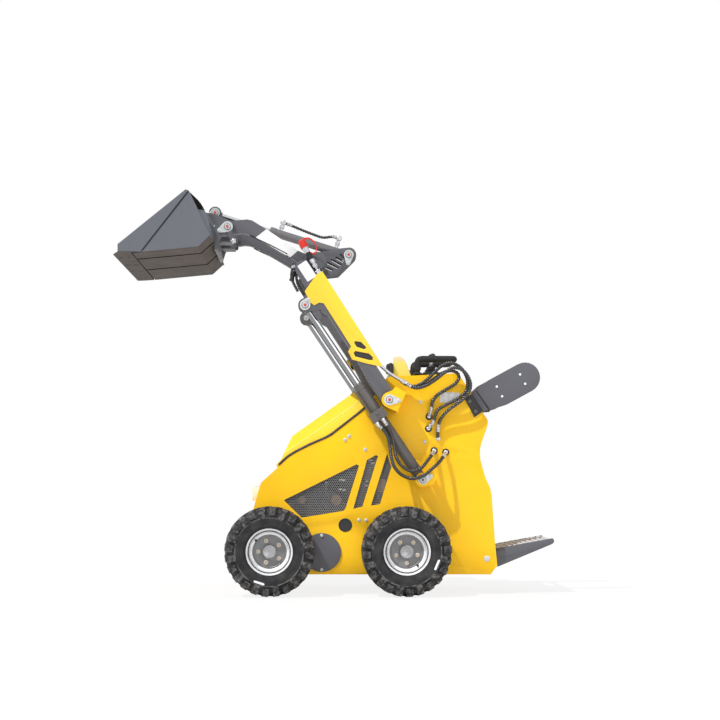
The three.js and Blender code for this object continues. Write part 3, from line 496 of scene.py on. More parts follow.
FOIL = finish("plate_foil", "pipe_zinc", (0.60, 0.60, 0.59), 0.4, metal=0.2, tone=0.16, tone_scale=60, grain=0.1)
GRATE = finish("grated_steel", "frame_grey", (0.56, 0.57, 0.60), 0.5, tone=0.15, tone_scale=40, grain=0.2)
WHITE = finish("white_film", "lamp_lens", (0.86, 0.87, 0.88), 0.38, tone=0.02, grain=0.04, coat=0.2)
RED = finish("red_plastic", "black_parts", (0.75, 0.035, 0.02), 0.4, tone=0.1, tone_scale=50)
LENS = finish("lamp_lens", "lamp_lens", (0.93, 0.90, 0.78), 0.2, tone=0.03, grain=0.1, coat=0.5)

# ---- pivots and lines of the CAD, as (x, z)
P, B, E, K = (262, 998), (431, 591), (-178, 1670), (-570, 1899)  # arm, lift barrel, elbow, bucket
T, L, FOLD = (61, 1783), (-648, 2006), (770, 184)  # tilt barrel, tilt rod, step
PANEL, EAR, ARM_FACE, UPPER_FACE = 265, 378, 360, 230  # outer faces, from the machine's middle


def line_between(a, b):
    """A base point, a direction and a length."""
    length = dist(a, b)
    return a, ((b[0] - a[0]) / length, (b[1] - a[1]) / length), length


def on_line(line, along, forward=0):
    (x, z), (dx, dz) = line[:2]
    return x + dx * along - dz * forward, z + dz * along + dx * forward


ARM_LINE = line_between(P, E)
ARM = ARM_LINE[2]
R = on_line(ARM_LINE, 640, 94)  # lift rod
LIFT_LINE, TILT_LINE = line_between(B, R), line_between(T, L)


def on_arm(along, forward):
    return on_line(ARM_LINE, along, forward)


def on_lift(along, forward):
    return on_line(LIFT_LINE, along, forward)


def on_tilt(along, height):
    return on_line(TILT_LINE, along, -height)


# ---- hoses, laid first
HOSE_R, TILT_HOSE_R = 9.5, 8
PIPES = [on_arm(a, f) for a, f in ((ARM + 6, -61), (ARM - 40, -56), (420, -56), (190, -56), (110, -78), (30, -117))]
LAST_RUN = dist(PIPES[-2], PIPES[-1])
AFTER_PIPE = [[lerp(a, b, 1 + beyond / LAST_RUN) for a, b in zip(PIPES[-2], PIPES[-1])] for beyond in (0.8, 14)]
# Arm hoses, as (x, distance out from the side panel, z), from the pipes to the tower.
ARM_HOSES = {
    "hose_arm_outer": [
        (377, 80, 1066), (408, 80, 1060), (459, 80, 1077), (505, 80, 1107), (545, 79, 1139), (586, 78, 1162),
        (620, 77, 1160), (648, 76, 1141), (668, 74, 1112), (678, 72, 1078), (672, 69, 1044), (647, 64, 1010),
        (613, 57, 982), (573, 48, 953), (539, 38, 919), (521, 29, 885), (516, 20, 851), (515, 12, 808)],
    "hose_arm_middle": [
        (380, 60, 1070), (412, 60, 1075), (459, 60, 1106), (505, 60, 1152), (539, 60, 1178), (573, 59, 1189),
        (607, 58, 1180), (634, 57, 1160), (653, 55, 1132), (664, 53, 1098), (658, 49, 1048), (632, 45, 1020),
        (596, 40, 996), (550, 34, 973), (516, 30, 951), (502, 27, 925), (494, 22, 897), (484, 18, 878),
        (471, 9, 859), (468, -15, 855)],
    "hose_arm_inner": [
        (379, 40, 1068), (408, 40, 1066), (459, 40, 1085), (505, 40, 1118), (545, 39, 1143), (585, 38, 1150),
        (614, 36, 1138), (622, 34, 1114), (609, 32, 1090), (579, 29, 1068), (539, 27, 1045), (505, 25, 1020),
        (488, 23, 993), (481, 20, 955), (473, 10, 922), (471, -15, 917)],
}
# Lift hoses, as (x, z, y) on the left, from the barrel's ports to the side panel.
LIFT_HOSES = {
    "hose_lift_lower": [
        (*on_lift(372.7, 32), -371), (*on_lift(349, 32), -371), (236, 843, -372), (253, 812, -373),
        (264, 757, -378), (271, 704, -387), (286, 657, -394), (322, 617, -394), (375, 598, -393),
        (434, 613, -393), (482, 650, -380), (522, 686, -338), (551, 724, -285), (557, 733, -250)],
    "hose_lift_upper": [
        (*on_lift(372.7, -4), -372), (*on_lift(349, -4), -372), (259, 850, -372), (279, 804, -374),
        (288, 743, -380), (302, 692, -390), (331, 656, -394), (375, 636, -394), (420, 650, -384),
        (456, 686, -345), (490, 730, -290), (497, 741, -250)],
}
# The tilt hose, as (along, height) over the tilt cylinder, and the two banjo posts that it joins.
TILT_HOSE = [(373.5, 64), (358, 64), (290, 58), (220, 53), (160, 53), (117.5, 70), (99.5, 74), (87.5, 74)]
BANJOS = ((385, 64), (76, 74))


def wrapped(radius):
    """The radius of a hose wound with a spiral guard."""
    pitch, depth = 13.0, 2.3

    def radius_at(far, turn):
        phase = (far / pitch - turn) % 1.0
        return radius - depth * (1 - min(1.0, 2.6 * min(phase, 1 - phase)))
    return radius_at


def first_part(path, length):
    """The path's first part, cut off at a distance from its start."""
    out, far = [path[0]], 0.0
    for a, b in zip(path, path[1:]):
        step = (b - a).length
        if far < length:
            out.append(a.lerp(b, min(1.0, (length - far) / step)))
        far += step
    return out


def crimped(path, name, fittings, radius):
    """Silver fittings on a hose's ends: a thin neck, a nut and a grooved sleeve that follow the hose."""
    for end, body, length, neck in fittings:
        part = first_part(path if end == "start" else path[::-1], length)

        def profile(far, turn):
            if far < neck:
                return radius * 0.66
            if far < neck + 10:
                return (radius + 1.4) / cos(radians((turn * 360 + 30) % 60 - 30)) * 0.93
            return radius + (0.6 if int((far - neck) / 3.4) % 3 else -0.9)
        fine = smooth_path(part[::3] + part[-1:], 1.1)
        make(f"{name}_crimp_{end}", tube(fine, radius, 24, profile), ZINC, body, angle=38)


def lay_hose(name, points, blend, fittings, radius=HOSE_R):
    """A wrapped hose that rides on a body, or stays where it is when a blend between two bodies is given, with its end
    fittings.
    """
    path = smooth_path(points, 2.2)
    length = sum((b - a).length for a, b in zip(path, path[1:])) * MM
    obj = make(f"{name}_wrap", tube(path, radius, 14, wrapped(radius)), HOSE, None, (name,), angle=0)
    if isinstance(blend, str):
        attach(obj, blend)
    else:
        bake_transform(obj)
    tuple(path[-1] * MM)
    crimped(path, name, fittings, radius)


for name, points in ARM_HOSES.items():
    points = [(x, points[0][1], z) for x, z in AFTER_PIPE] + points
    lay_hose(name, [(x, -PANEL - out, z) for x, out, z in points],
             ("chassis", "boom", (0.63, 0, 1.02), (0.40, 0, 1.06)),
             (("start", "boom", 36, 0), ("end", "chassis", 74, 30)))
for side_name, side in SIDES:
    for name, points in LIFT_HOSES.items():
        barrel = f"lift_barrel_{side_name}"
        lay_hose(f"{name}_{side_name}", [(x, -side * y, z) for x, z, y in points],
                 ("chassis", barrel, (0.45, 0, 0.64), (0.27, 0, 0.80)),
                 (("start", barrel, 44, 0), ("end", "chassis", 72, 36)))
lay_hose("hose_tilt", [at_y(on_tilt(a, h), 0) for a, h in TILT_HOSE], "tilt_barrel",
         (("start", "tilt_barrel", 38, 10), ("end", "tilt_barrel", 28, 0)), TILT_HOSE_R)

# ---- wheels; profiles are (radius, distance outward)
AXLE_X, WHEEL_Y, AXLE_Z = 346.5, 392, 228.5
LUGS, TREAD_R, STUD_CIRCLE, MARK_CIRCLE, VALVE_CIRCLE, STUD_FACE = 24, 215, 57.15, 163, 90, WHEEL_Y + 39
CARCASS = [(103, -74), (118, -76), (121, -82), (123, -92), (128, -99), (140, -103.5), (158, -104.5), (170, -103),
           (172, -105), (176, -105), (178, -102), (190, -97), (204, -88), (213, -72), (219, -40), (220, 0)]
CARCASS = CARCASS + [(r, -h) for r, h in CARCASS[-2::-1]]
# Stations along a tread bar: across the tyre, foot and top radius, lag in degrees, half width.
BAR = ((-5, 210, 228.1, 0, 12), (30, 210, 228.1, 1.4, 12.5), (62, 208, 227.8, 2.6, 13.5), (84, 196, 226, 3.4, 15),
       (97, 184, 219, 4.0, 16.5), (104.5, 176, 207, 4.4, 17), (107.6, 175, 194, 4.7, 14.5))
RIM = [(96, -85), (119, -85), (119, -80), (113, -78), (108, -66), (104, 28), (104, 36), (106, 60), (112, 76),
       (118, 79.5), (119.5, 83), (118, 86), (114.5, 86), (111, 83), (109, 76), (103, 63), (100, 60), (98.5, 56),
       (98, 49), (96, 46), (90, 44.5), (87, 42), (86, 30), (96, 26), (100, 20), (96, -85)]
DISC = [(0, 30), (87, 30), (87, 41), (84, 42.6), (80, 42.6), (77, 40.5), (74, 39.2), (45, 39.2), (0, 39.2)]
CAP = [(0, 38), (37, 38), (39, 40), (39, 43), (36, 45), (34, 58), (31.5, 60.5), (27, 60.5), (26, 59.6), (14, 59.6),
       (12.5, 59), (5, 59), (4, 57), (0, 57)]


def lug(side, angle, short):
    """A tread bar from the middle out over the shoulder, sloping back a little as it goes."""
    points, faces = [], []
    for i, (across, foot, top, lag, half) in enumerate(BAR):
        foot, top = foot + (short if i > 3 else 0), top - (0.2 * short if i > 4 else 0)
        for radius, spread in ((foot, 1.18), (top, 1.0), (top, -1.0), (foot, -1.18)):
            turn = radians(angle + lag) + spread * half / TREAD_R
            points.append((radius * cos(turn), side * across, radius * sin(turn)))
        if i:
            a, b = 4 * (i - 1), 4 * i
            faces += [(a + k, a + (k + 1) % 4, b + (k + 1) % 4, b + k) for k in range(4)]
    faces += [(0, 1, 2, 3), tuple(range(4 * len(BAR) - 1, 4 * len(BAR) - 5, -1))]
    return points, faces


def moved(shape, dx, dy, dz):
    points, faces = shape
    return [(x + dx, y + dy, z + dz) for x, y, z in points], faces


# Each end's first stud, the tyre mark, the valve and the tread's lean, as angles read from the photograph.
WHEELS = (("front", -AXLE_X, 180, -108, 140, 0), ("rear", AXLE_X, -90, -23, -52, 9))
for side_name, side in SIDES:
    for end, x, first_stud, mark_turn, valve_turn, lean in WHEELS:
        place = f"{end}_{side_name}"
        wheel = f"wheel_{place}"
        hub, out, centre = (x, side * WHEEL_Y, AXLE_Z), (0, side, 0), (x, AXLE_Z)
        points, faces = turned(CARCASS + CARCASS[:1], (0, 0, 0), segments=96)
        parts = [(points, faces[:-2])]
        for i in range(LUGS):
            parts += [lug(across, 360 * i / LUGS + lean + late, 9 * (i % 2)) for across, late in ((1, 0), (-1, 6))]
        make(f"tyre_{place}_lugged", [moved(p, *hub) for p in parts], TREAD, wheel, (f"tyre_{place}",), bevel=1.6)
        make(f"rim_{place}_pressed", turned(RIM, hub, out, 72), WHEEL, wheel, (f"rim_{place}",), angle=40)
        make(f"wheel_disc_{place}", turned(DISC, hub, out, 64), DISC_GREY, wheel)
        make(f"hub_cap_{place}", turned(CAP, hub, out, 40), CAST, wheel, bevel=1, angle=50)
        washers, nuts = [], []
        for k in range(5):
            stud = polar(centre, STUD_CIRCLE, 72 * k + first_stud)
            washers.append(boss([(10.5, 0), (10.5, 2.2), (9, 3)], stud, STUD_FACE, side, 20))
            nuts += [turned([(8.6, 2), (8.6, 8), (6.8, 10.5)], at_y(stud, side * STUD_FACE), out, 6, 0.25),
                     boss([(4.6, 9), (4.6, 13.2), (3.8, 14)], stud, STUD_FACE, side, 12)]
        make(f"wheel_washers_{place}", washers, WHEEL, wheel)
        make(f"wheel_nuts_{place}", nuts, BRASS, wheel, angle=25)
        low, high = (polar(centre, MARK_CIRCLE, mark_turn + turn) for turn in (-8, 8))
        mark = link(low, 5.5, high, 5.5, 8)
        make(f"tyre_mark_{place}", flank(mark, side, WHEEL_Y + 103.5, WHEEL_Y + 105.6), WHITE, wheel, bevel=0.5,
             slot="tyre_rubber")
        foot, tip = (polar(centre, VALVE_CIRCLE - lean_in, valve_turn) for lean_in in (0, 3))
        base = at_y(foot, side * (WHEEL_Y + 38))
        make(f"valve_{place}", [rod(base, at_y(tip, side * (WHEEL_Y + 62)), 4.2, 12, 1),
                                rod(base, at_y(foot, side * (WHEEL_Y + 46)), 7, 14, 2)], BLACK, wheel)

# ---- CAD nodes kept as they are, with rounded edges
COVER_SLOTS = ([(81, 1292), (121, 1290), (145, 1263), (133, 1256), (95, 1269)],
               [(79, 1240), (88, 1243), (156, 1227.5), (172, 1215), (180, 1201), (160, 1201), (88, 1219)])
for side_name, side in SIDES:
    for name, material, bevel in (("side_panel", YELLOW, 1.0), ("chain_cover", SLATE, 1.5),
                                  ("arm_bracket", YELLOW, 1.6), ("cylinder_bracket", YELLOW, 1.6),
                                  ("lift_arm", SLATE, 4.0), ("upper_arm", SLATE, 3.0)):
        refined(f"{name}_{side_name}", material, bevel)
    refined(f"arm_cover_{side_name}", PALE, 1.2, cutters=[flank(outline, side, 330, 420) for outline in COVER_SLOTS])
    refined(f"guard_bracket_{side_name}", BLACK, 1.0)
for name, material, bevel in (("belly_plate", YELLOW, 1.0), ("front_panel", YELLOW, 1.0), ("rear_panel", YELLOW, 1.5),
                              ("tower_top", YELLOW, 1.5), ("console_fin", FIN, 3.0), ("elbow_tube", SLATE, 2.0),
                              ("quick_attach", SLATE, 1.5), ("axle_front", BARREL, 1.0), ("axle_rear", BARREL, 1.0),
                              ("front_lamps", LENS, 2.0)):
    refined(name, material, bevel)
refined("hood", HOOD, 4.0, 14)

# ---- cylinders
def eye(at, y, outer, bore, width):
    half = width / 2
    return turned([(bore, -half), (outer - 1.5, -half), (outer, -half + 1.5), (outer, half - 1.5), (outer - 1.5, half),
                   (bore, half), (bore, -half)], at_y(at, y), segments=40)


def cylinder(names, line, y, radius, eye_r, width, barrel_to, rod_r, pin, extras=(), paint=BARREL):
    """A painted barrel with its gland, and a chromed rod with its eye; each rides on the body of its own name."""
    base, direction, length = line
    axis = at_y(direction, 0)
    stop = barrel_to - eye_r - 10
    profile = [(radius * 0.7, -2), (radius - 1, 0), (radius, 2), (radius, stop - 34), (radius + 1.6, stop - 32),
               (radius + 1.6, stop - 2), (radius - 1, stop), (rod_r + 4, stop), (rod_r + 3, stop + 3),
               (rod_r + 0.4, stop + 3), (rod_r + 0.4, stop - 6), (0, stop - 6)]
    barrel = [turned(profile, at_y(on_line(line, eye_r + 10), y), axis, 48),
              slab(link(base, eye_r, on_line(line, eye_r + 14), radius * 0.82), y - width / 2, y + width / 2)]
    make(names[0] + "_painted", barrel + list(extras), paint, names[0], (names[0],), bevel=1.2)
    hidden = 70  # the length of rod inside the barrel
    inner, tip = on_line(line, barrel_to - hidden), on_line(line, length - eye_r * 0.6)
    make(names[1] + "_chrome", rod(at_y(inner, y), at_y(tip, y), rod_r, 40, 2), CHROME, names[1], (names[1],))
    collar = [(rod_r + 0.3, 0), (rod_r + 3, 3), (rod_r + 7, 14), (rod_r + 0.3, 14)]
    make(names[1] + "_eye", [eye(on_line(line, length), y, eye_r * 0.95, pin + 0.6, width),
                             turned(collar, at_y(on_line(line, length - eye_r - 9), y), axis, 32)], BARREL, names[1])


for side_name, side in SIDES:
    run = [at_y(on_lift(a, f), side * y) for a, f, y in ((415, 30, 352), (432, 33, 349), (446, 32, 349),
                                                         (545, 32, 349), (557, 28, 346))]
    extras = [flank([on_lift(a, f) for a, f in ((373, -38), (373, 46), (425, 46), (425, -38))], side, 292, 384),
              tube(smooth_path(run, 6), 4.5, 12)]
    extras += [boss([(9, 0), (9, 5), (7, 6.5)], on_lift(a, 4), 383.5, side, 6) for a in (389, 409)]
    cylinder((f"lift_barrel_{side_name}", f"lift_rod_{side_name}"), LIFT_LINE, side * 325, 30, 30, 34, 589, 17, 15,
             extras)
posts = []
for along, height in BANJOS:
    a, b = (Vector(at_y(on_tilt(along, h), 0)) for h in (20, height))
    posts += [rod(a, b, 9.5, 24, 1), turned([(14.5, -8), (14.5, 8)], lerp(a, b, 0.45), b - a, 6)]
cylinder(("tilt_barrel", "tilt_rod"), TILT_LINE, 0, 23, 28, 40, 440, 13, 13, paint=LIGHT_BARREL)
posts += [turned([(11, -15), (14.5, -12.5), (14.5, 12.5), (11, 15)], at_y(on_tilt(a, h), 0), segments=28)
          for a, h in BANJOS]
make("tilt_banjos", posts, ZINC, "tilt_barrel", bevel=0.8)

# ---- pins, keepers and bolts, gathered by kind and body
GATHERED = {kind: defaultdict(list) for kind in ("pin_keepers", "pin_seats", "grease_caps", "dull_caps", "bolts")}


def keeper(body, at, y, side, toward, reach=47, big=28):
    """A teardrop plate that locks a pin, with its bolt, and the pin's washer, seat and grease cap."""
    foot, out = polar(at, reach, toward), (0, side, 0)
    washer = [(15, 0), (15, 5), (14, 6.5), (9, 6.5), (8, 5), (0, 5)]
    plate = flank(link(at, big, foot, 11, 16), side, y, y + 5)
    for kind, parts in (
            ("pin_keepers", [plate, boss(washer, at, y + 4.5, side, 32)]),
            ("pin_seats", [ring(at_y(at, side * (y + 5)), out, 16.4, 1.5)]),
            ("bolts", hex_bolt(at_y(foot, side * (y + 5)), out, 6.2, 5)),
            ("dull_caps" if at == B else "grease_caps",
             [boss([(6.2, 0), (6.2, 4), (4.5, 6.5), (0, 7.2)], at, y + 9, side, 20)])):
        GATHERED[kind][body] += parts


def bolts(places, y, side, size=7.2):
    return [part for at in places for part in hex_bolt(at_y(at, side * y), (0, side, 0), size)]


for side_name, side in SIDES:
    keeper("chassis", P, EAR, side, -5)
    keeper("chassis", B, EAR, side, 25, 44, 24)
    keeper("boom", R, ARM_FACE, side, 60, 30, 27)
    keeper("boom", T, 40, side, -95, 45, 26)
    keeper("bucket", K, 248, side, 205)
    keeper("bucket", L, 38, side, 200, 28, 25)
    GATHERED["bolts"]["chassis"] += (
        bolts(((38, 798), (58, 816), (142, 747), (110, 383), (147, 383), (427, 993), (448, 787)), PANEL, side)
        + bolts(((-83, 304), (-83, 128)), PANEL + 8.3, side, 6.5))
    make(f"guard_bolts_{side_name}", bolts(((679, 996), (710, 944)), PANEL + 6.3, side, 8), BARREL, angle=25)
    GATHERED["bolts"]["chassis"] += bolts((FOLD,), PANEL, side, 12)
    make(f"lift_pin_{side_name}", rod(at_y(R, side * 286), at_y(R, side * 364), 15, 28, 1), ZINC, "boom")
make("rod_pin", rod(at_y(L, -42), at_y(L, 42), 13, 28, 1), ZINC, "bucket")
for kind, material, edges in (("pin_keepers", PALE_ZINC, {"bevel": 0.8}), ("pin_seats", BARREL, {}),
                              ("grease_caps", RED, {}), ("dull_caps", COPPER, {}), ("bolts", PALE_ZINC, {"angle": 25})):
    for body, parts in GATHERED[kind].items():
        make(f"{kind}_{body}", parts, material, body, **edges)

# ---- hood seal, grilles and openings
SEAM = [(-304, 668), (-251, 715.5), (-152, 769.5), (-43, 819.5), (16, 863.5), (139, 960)]
WINDOWS = ([(-278, 486), (97, 671), (110, 664), (41, 446), (31, 431), (-186, 395)],
           [(151, 693), (198, 719), (208, 713), (127, 452), (80, 441)],
           [(255, 727), (277, 658), (218, 466), (171, 457)])
UPPER_PORTS, LOWER_PORTS, EXHAUST = ((471, 917), (468, 855)), ((497, 741), (557, 733)), (39, 357)
PORT_FACE = 264


def near_outline(p, outline, reach):
    """Whether a point is inside an outline, or within reach of its edge."""
    within, best = False, 1e9
    for a, b in zip(outline, outline[1:] + outline[:1]):
        if (a[1] > p[1]) != (b[1] > p[1]) and p[0] < (b[0] - a[0]) * (p[1] - a[1]) / (b[1] - a[1]) + a[0]:
            within = not within
        edge = Vector((b[0] - a[0], b[1] - a[1]))
        t = max(0, min(1, (Vector((p[0] - a[0], p[1] - a[1])).dot(edge)) / edge.length_squared))
        best = min(best, dist(p, (a[0] + edge[0] * t, a[1] + edge[1] * t)))
    return within or best < reach


def honeycomb(y):
    """Perforated sheet behind the windows: a frame round each six-sided hole."""
    points, faces, index = [], [], {}
    pitch, rib, corner_x, corner_z, wide, high = 10.2, 2.1, -292, 384, 590, 360
    row_pitch = pitch * sqrt(3) / 2
    inner, outer = (pitch - rib) / sqrt(3), pitch / sqrt(3)

    def point(x, z):
        key = (round(x, 2), round(z, 2))
        if key not in index:
            index[key] = len(points)
            points.append((x, y, z))
        return index[key]
    for row in range(int(high / row_pitch) + 1):
        for column in range(int(wide / pitch) + 1):
            cell = corner_x + (column + 0.5 * (row % 2)) * pitch, corner_z + row * row_pitch
            if any(near_outline(cell, w, 9) for w in WINDOWS):
                a, b = ([point(*polar(cell, r, 30 + 60 * k)) for k in range(6)] for r in (outer, inner))
                faces += [(a[k], a[(k + 1) % 6], b[(k + 1) % 6], b[k]) for k in range(6)]
    return points, faces


for side_name, side in SIDES:
    make(f"hood_seal_{side_name}", tube(side_path([at_y(p, 262.5) for p in SEAM], side, 8), 6.6, 12), BLACK)
    sheet = make(f"grille_{side_name}_mesh", honeycomb(side * 256), MESH, "chassis", (f"grille_{side_name}",), angle=0)
    sheet.modifiers.new("sheet", "SOLIDIFY").thickness = 1.2 * MM
    parts = []
    # The black cups inside the ports and the exhaust hole are painted shade; the rings round them and the exhaust pipe
    # are parts.
    for at, radius, wire, deep, segments in [(p, 16.5, 1.9, 26, 28) for p in UPPER_PORTS + LOWER_PORTS] + [
            (EXHAUST, 33, 2.2, 60, 40)]:
        parts += [ring(at_y(at, side * (PORT_FACE + 1.2)), (0, 1, 0), 16.6 if radius == 16.5 else 33, wire, segments),
                  boss([(radius, 0), (radius, -deep), (0, -deep)], at, PORT_FACE, side, segments)]
    parts.append(boss([(21, -58), (21, -14), (17.5, -14), (17.5, -58)], EXHAUST, PORT_FACE, side, 32))
    make(f"openings_{side_name}", parts, BLACK)

# ---- what shows through the grilles
BAY = 240  # the belt's distance from the machine's middle
BAY_SHADE_OUTLINE = [(-290, 385), (-290, 500), (110, 690), (150, 730), (290, 740), (290, 450), (150, 420), (40, 400), (-186, 380)]
BELT = ((-8, 511), (-100, 508), (-186, 503), (-204, 486), (-186, 469), (-100, 464), (-8, 461))
TAGS = ((16, 590, 5), (32, 588, 4), (14, 540, 6), (34, 537, 5), (170, 690, 9), (182, 676, 6), (152, 582, 4),
        (150, 560, 3), (-60, 575, 3))
LEADS = (((-40, 236, 600), (-60, 242, 540), (-50, 240, 480), (-80, 236, 430)),
         ((110, 236, 470), (80, 242, 520), (96, 238, 580), (60, 232, 640)),
         ((230, 238, 640), (200, 244, 560), (210, 240, 500)))
for side_name, side in SIDES:
    fins = [box((-250 + 11 * k, -246 + 11 * k), (side * 200, side * 232), (425, 560)) for k in range(17)]
    fins += [box((-256, -62), (side * 200, side * 226), z) for z in ((418, 426), (558, 568))]
    make(f"radiator_{side_name}", fins, ENGINE)
    pulleys = [turned([(0, -9), (r - 3, -9), (r, -6), (waist, 0), (r, 6), (r - 3, 9), (0, 9)], (x, side * BAY, z),
                      segments=n) for r, waist, x, z, n in ((27, 22, -8, 486, 36), (20, 16, -186, 486, 32),
                                                            (36, 31, 226, 560, 36))]
    make(f"pulleys_{side_name}", pulleys, COPPER)
    # Painted shade: a near-black sheet behind the engine's parts, so that the bay reads dark through the grilles.
    make(f"engine_bay_painted_shade_{side_name}", flank(BAY_SHADE_OUTLINE, side, 190, 193), SHADE_BLACK, bevel=0.8)
    make(f"belt_{side_name}", tube(side_path([at_y(p, BAY) for p in BELT], side, 8), 4.5, 8), BLACK)
    make(f"silencer_{side_name}", [turned([(0, -75), (34, -72), (40, -62), (40, 62), (34, 72), (0, 75)],
                                          (178, side * 200, 640), (0.28, 0, 0.96), 40),
                                   turned([(0, -60), (26, -56), (26, 56), (0, 60)], (118, side * 205, 520),
                                          (0.3, 0, 0.95), 32)], ENGINE)
    make(f"engine_tags_{side_name}", [flank(link((x - w, z), 3.5, (x + w, z + 2), 3.5, 6), side, BAY, BAY + 3)
                                      for x, z, w in TAGS], PLASTIC)
    make(f"engine_leads_{side_name}", [tube(side_path(lead, side, 8), 5.5, 8) for lead in LEADS], HOSE)


# ---- bucket
def strip(line, thickness):
    """A bent plate: the line, and the same line set off to its left."""
    off = []
    for before, p, after in zip(line[:1] + line, line, line[1:] + line[-1:]):
        edges = ((p[0] - before[0], p[1] - before[1]), (after[0] - p[0], after[1] - p[1]))
        normals = [Vector((-dz, dx)).normalized() for dx, dz in edges if dx or dz]
        total = sum(normals, Vector((0, 0)))
        if len(normals) == 2:
            total *= 2 / total.length_squared
        off.append(tuple(Vector(p) + total * thickness))
    return line + off[::-1]


def edge_slots(radius, low, high):
    return [plan(link((x - 1, mid), radius, (x + 1, mid), radius), low, high)
            for mid in (-390, -130, 130, 390) for x in (-1103, -1058)]


SHELL_LINE = bend([(-1112, 1722.5), (-990, 1730.5), (-700, 1758.5), (-641, 1812), (-648, 1880), (-662, 1930),
                   (-690, 1980), (-738, 2026)], 34)
PLATE_FRONT = [(-1102, 1733), (-1102, 1768), (-762, 2042)]
SIDE_PLATE = PLATE_FRONT + [(-746, 2036), (-632, 1800), (-641, 1806), (-700, 1757), (-990, 1729)]
FRONT_PLATE = PLATE_FRONT + [(-752, 2034), (-984, 1737), (-990, 1730.5)]
FILLER = [(-640, 1911), (-652, 1930), (-664, 1956), (-671, 1970), (-690, 1975), (-672, 1935), (-655, 1900),
          (-640, 1895)]
UNDER = [(-1026, 1720.6), (-700, 1751.2), (-634.5, 1810)]
LIP = [(-1124.5, 1716.3), (-1100, 1732.5), (-1032, 1739), (-1032, 1720.8), (-1096, 1717)]
curve = [p for p in SHELL_LINE if p[1] > 1811]
gap = [p for p in curve if p[1] > 1940]
shell = [slab(strip(SHELL_LINE, 7), -506, 506),
         slab(rounded([(-738, 2026), (-758, 2042.5), (-766, 2034), (-744, 2014)], 3), -506, 506),
         box((-657, -637), (-250, 250), (1812, 1900))]
for side in BOTH:
    shell += [flank(curve + [(-752, 2022), (-665, 1812)], side, 503, 509.6), flank(FILLER, side, 236, 250),
              flank(SIDE_PLATE, side, 505, 520), flank(FRONT_PLATE, side, 519.5, 524.6)]
make("bucket_shell", shell, BUCKET, "bucket", ("bucket",), bevel=1.2)
# Painted shadow: a dark grey line along the front plate's rear edge on each side.
make("bucket_painted_shadow_lines", flanks([(-752, 2034), (-746, 2029), (-976, 1737), (-984, 1737)], 519.6, 520.8), SHADE,
     "bucket")
make("bucket_corner_shadows", flanks(gap + [(-752, 2022), (-705, 1945)], 509, 511.5), SHADE_BLACK, "bucket")
make("bucket_wear_plates", [slab(strip(UNDER, 6), y0, y1) for y0, y1 in ((-520, -331), (-305, 82), (108, 520))],
     BELLY, "bucket", bevel=1.2)
# Painted shade: near-black strips in the gaps between the wear plates.
make("bucket_seam_painted_shade", [slab(strip(UNDER, 3), y0, y1) for y0, y1 in ((-334, -302), (79, 111))], SHADE_BLACK, "bucket",
     slot="frame_grey")
make("bucket_edge", slab(LIP, -524.5, 524.5), BELLY, "bucket", cutters=edge_slots(9, 1700, 1721))
# Painted shade: near-black plates in the recesses over the cutting edge's slots.
make("edge_recess_painted_shade", edge_slots(8.9, 1721.5, 1724), SHADE_BLACK, "bucket")

# ---- tilt bracket, guards and step
SLITS = (((-82, 1726), (-30, 1703)), ((-53, 1741), (0, 1715)), ((-29, 1756), (18, 1730)), ((-5, 1768), (30, 1748)),
         ((18, 1784), (35, 1763)))
refined("tilt_bracket", SLATE, 0.8, cutters=[slab(link(low, 6, high, 6, 6), -60, 60) for low, high in SLITS])
GUARD_HOLES = ((939, 1133.7), (965.4, 1085.2), (819.5, 1070.8), (846.8, 1020.8))
GUARD_MID, HINGE_Y = 273.6, 273.8
PLUG = [(0, -11), (6.4, -11), (6.4, -9.2), (4, -9.2), (4, 1), (6.4, 1), (5.4, 2.4), (0, 2.8)]
for side_name, side in SIDES:
    refined(f"guard_plate_{side_name}", SLATE)
    make(f"guard_plugs_{side_name}", [boss(PLUG, at, GUARD_MID, side, 20) for at in GUARD_HOLES], WHITE,
         body_of(f"guard_plate_{side_name}"), slot="pipe_zinc")
refined("platform", SLATE, 1.2)
STEP_FRONT, STEP_BACK, STEP_HALF, ROW_PITCH, STUD_PITCH = (824, 228), (1112, 281), 190, 28.5, 31
step = line_between(STEP_FRONT, STEP_BACK)
rise = math.atan2(STEP_BACK[1] - STEP_FRONT[1], STEP_BACK[0] - STEP_FRONT[0])
tread = []
for row in range(10):
    for column in range(13):
        across = -186 + STUD_PITCH * column + (15 if row % 2 else 0)
        if abs(across) <= STEP_HALF:
            tread.append(turned([(12.5, -0.5), (10, 5.5), (8, 7.5), (6.4, 7), (6.4, -0.5)],
                                at_y(on_line(step, 18 + ROW_PITCH * row), across), (-sin(rise), 0, cos(rise)), 12))
make("step_tread", tread, GRATE, "platform", angle=50)

# ---- hinge leaves of the guards
LEAF = ((691, 1036, 271.6), (748, 944, 271.6), (775, 948, 279), (710, 1045, 279))
for side_name, side in SIDES:
    leaf = [(x, side * (y + deep), z) for deep in (0, 5) for x, z, y in LEAF]
    faces = [(0, 1, 2, 3), (7, 6, 5, 4)] + [(k, (k + 1) % 4, 4 + (k + 1) % 4, 4 + k) for k in range(4)]
    top, low = Vector((708, side * HINGE_Y, 1046)), Vector((777, side * HINGE_Y, 946))
    knuckles = [rod(top.lerp(low, 0.2 * k + 0.006), top.lerp(low, 0.2 * k + 0.194), 8.6, 20, 1) for k in range(5)]
    knuckles.append(rod(low, low.lerp(top, -0.05), 5, 16, 1))
    make(f"guard_leaf_{side_name}", (leaf, faces), SLATE, bevel=1)
    make(f"guard_knuckles_{side_name}", knuckles, BLACK)

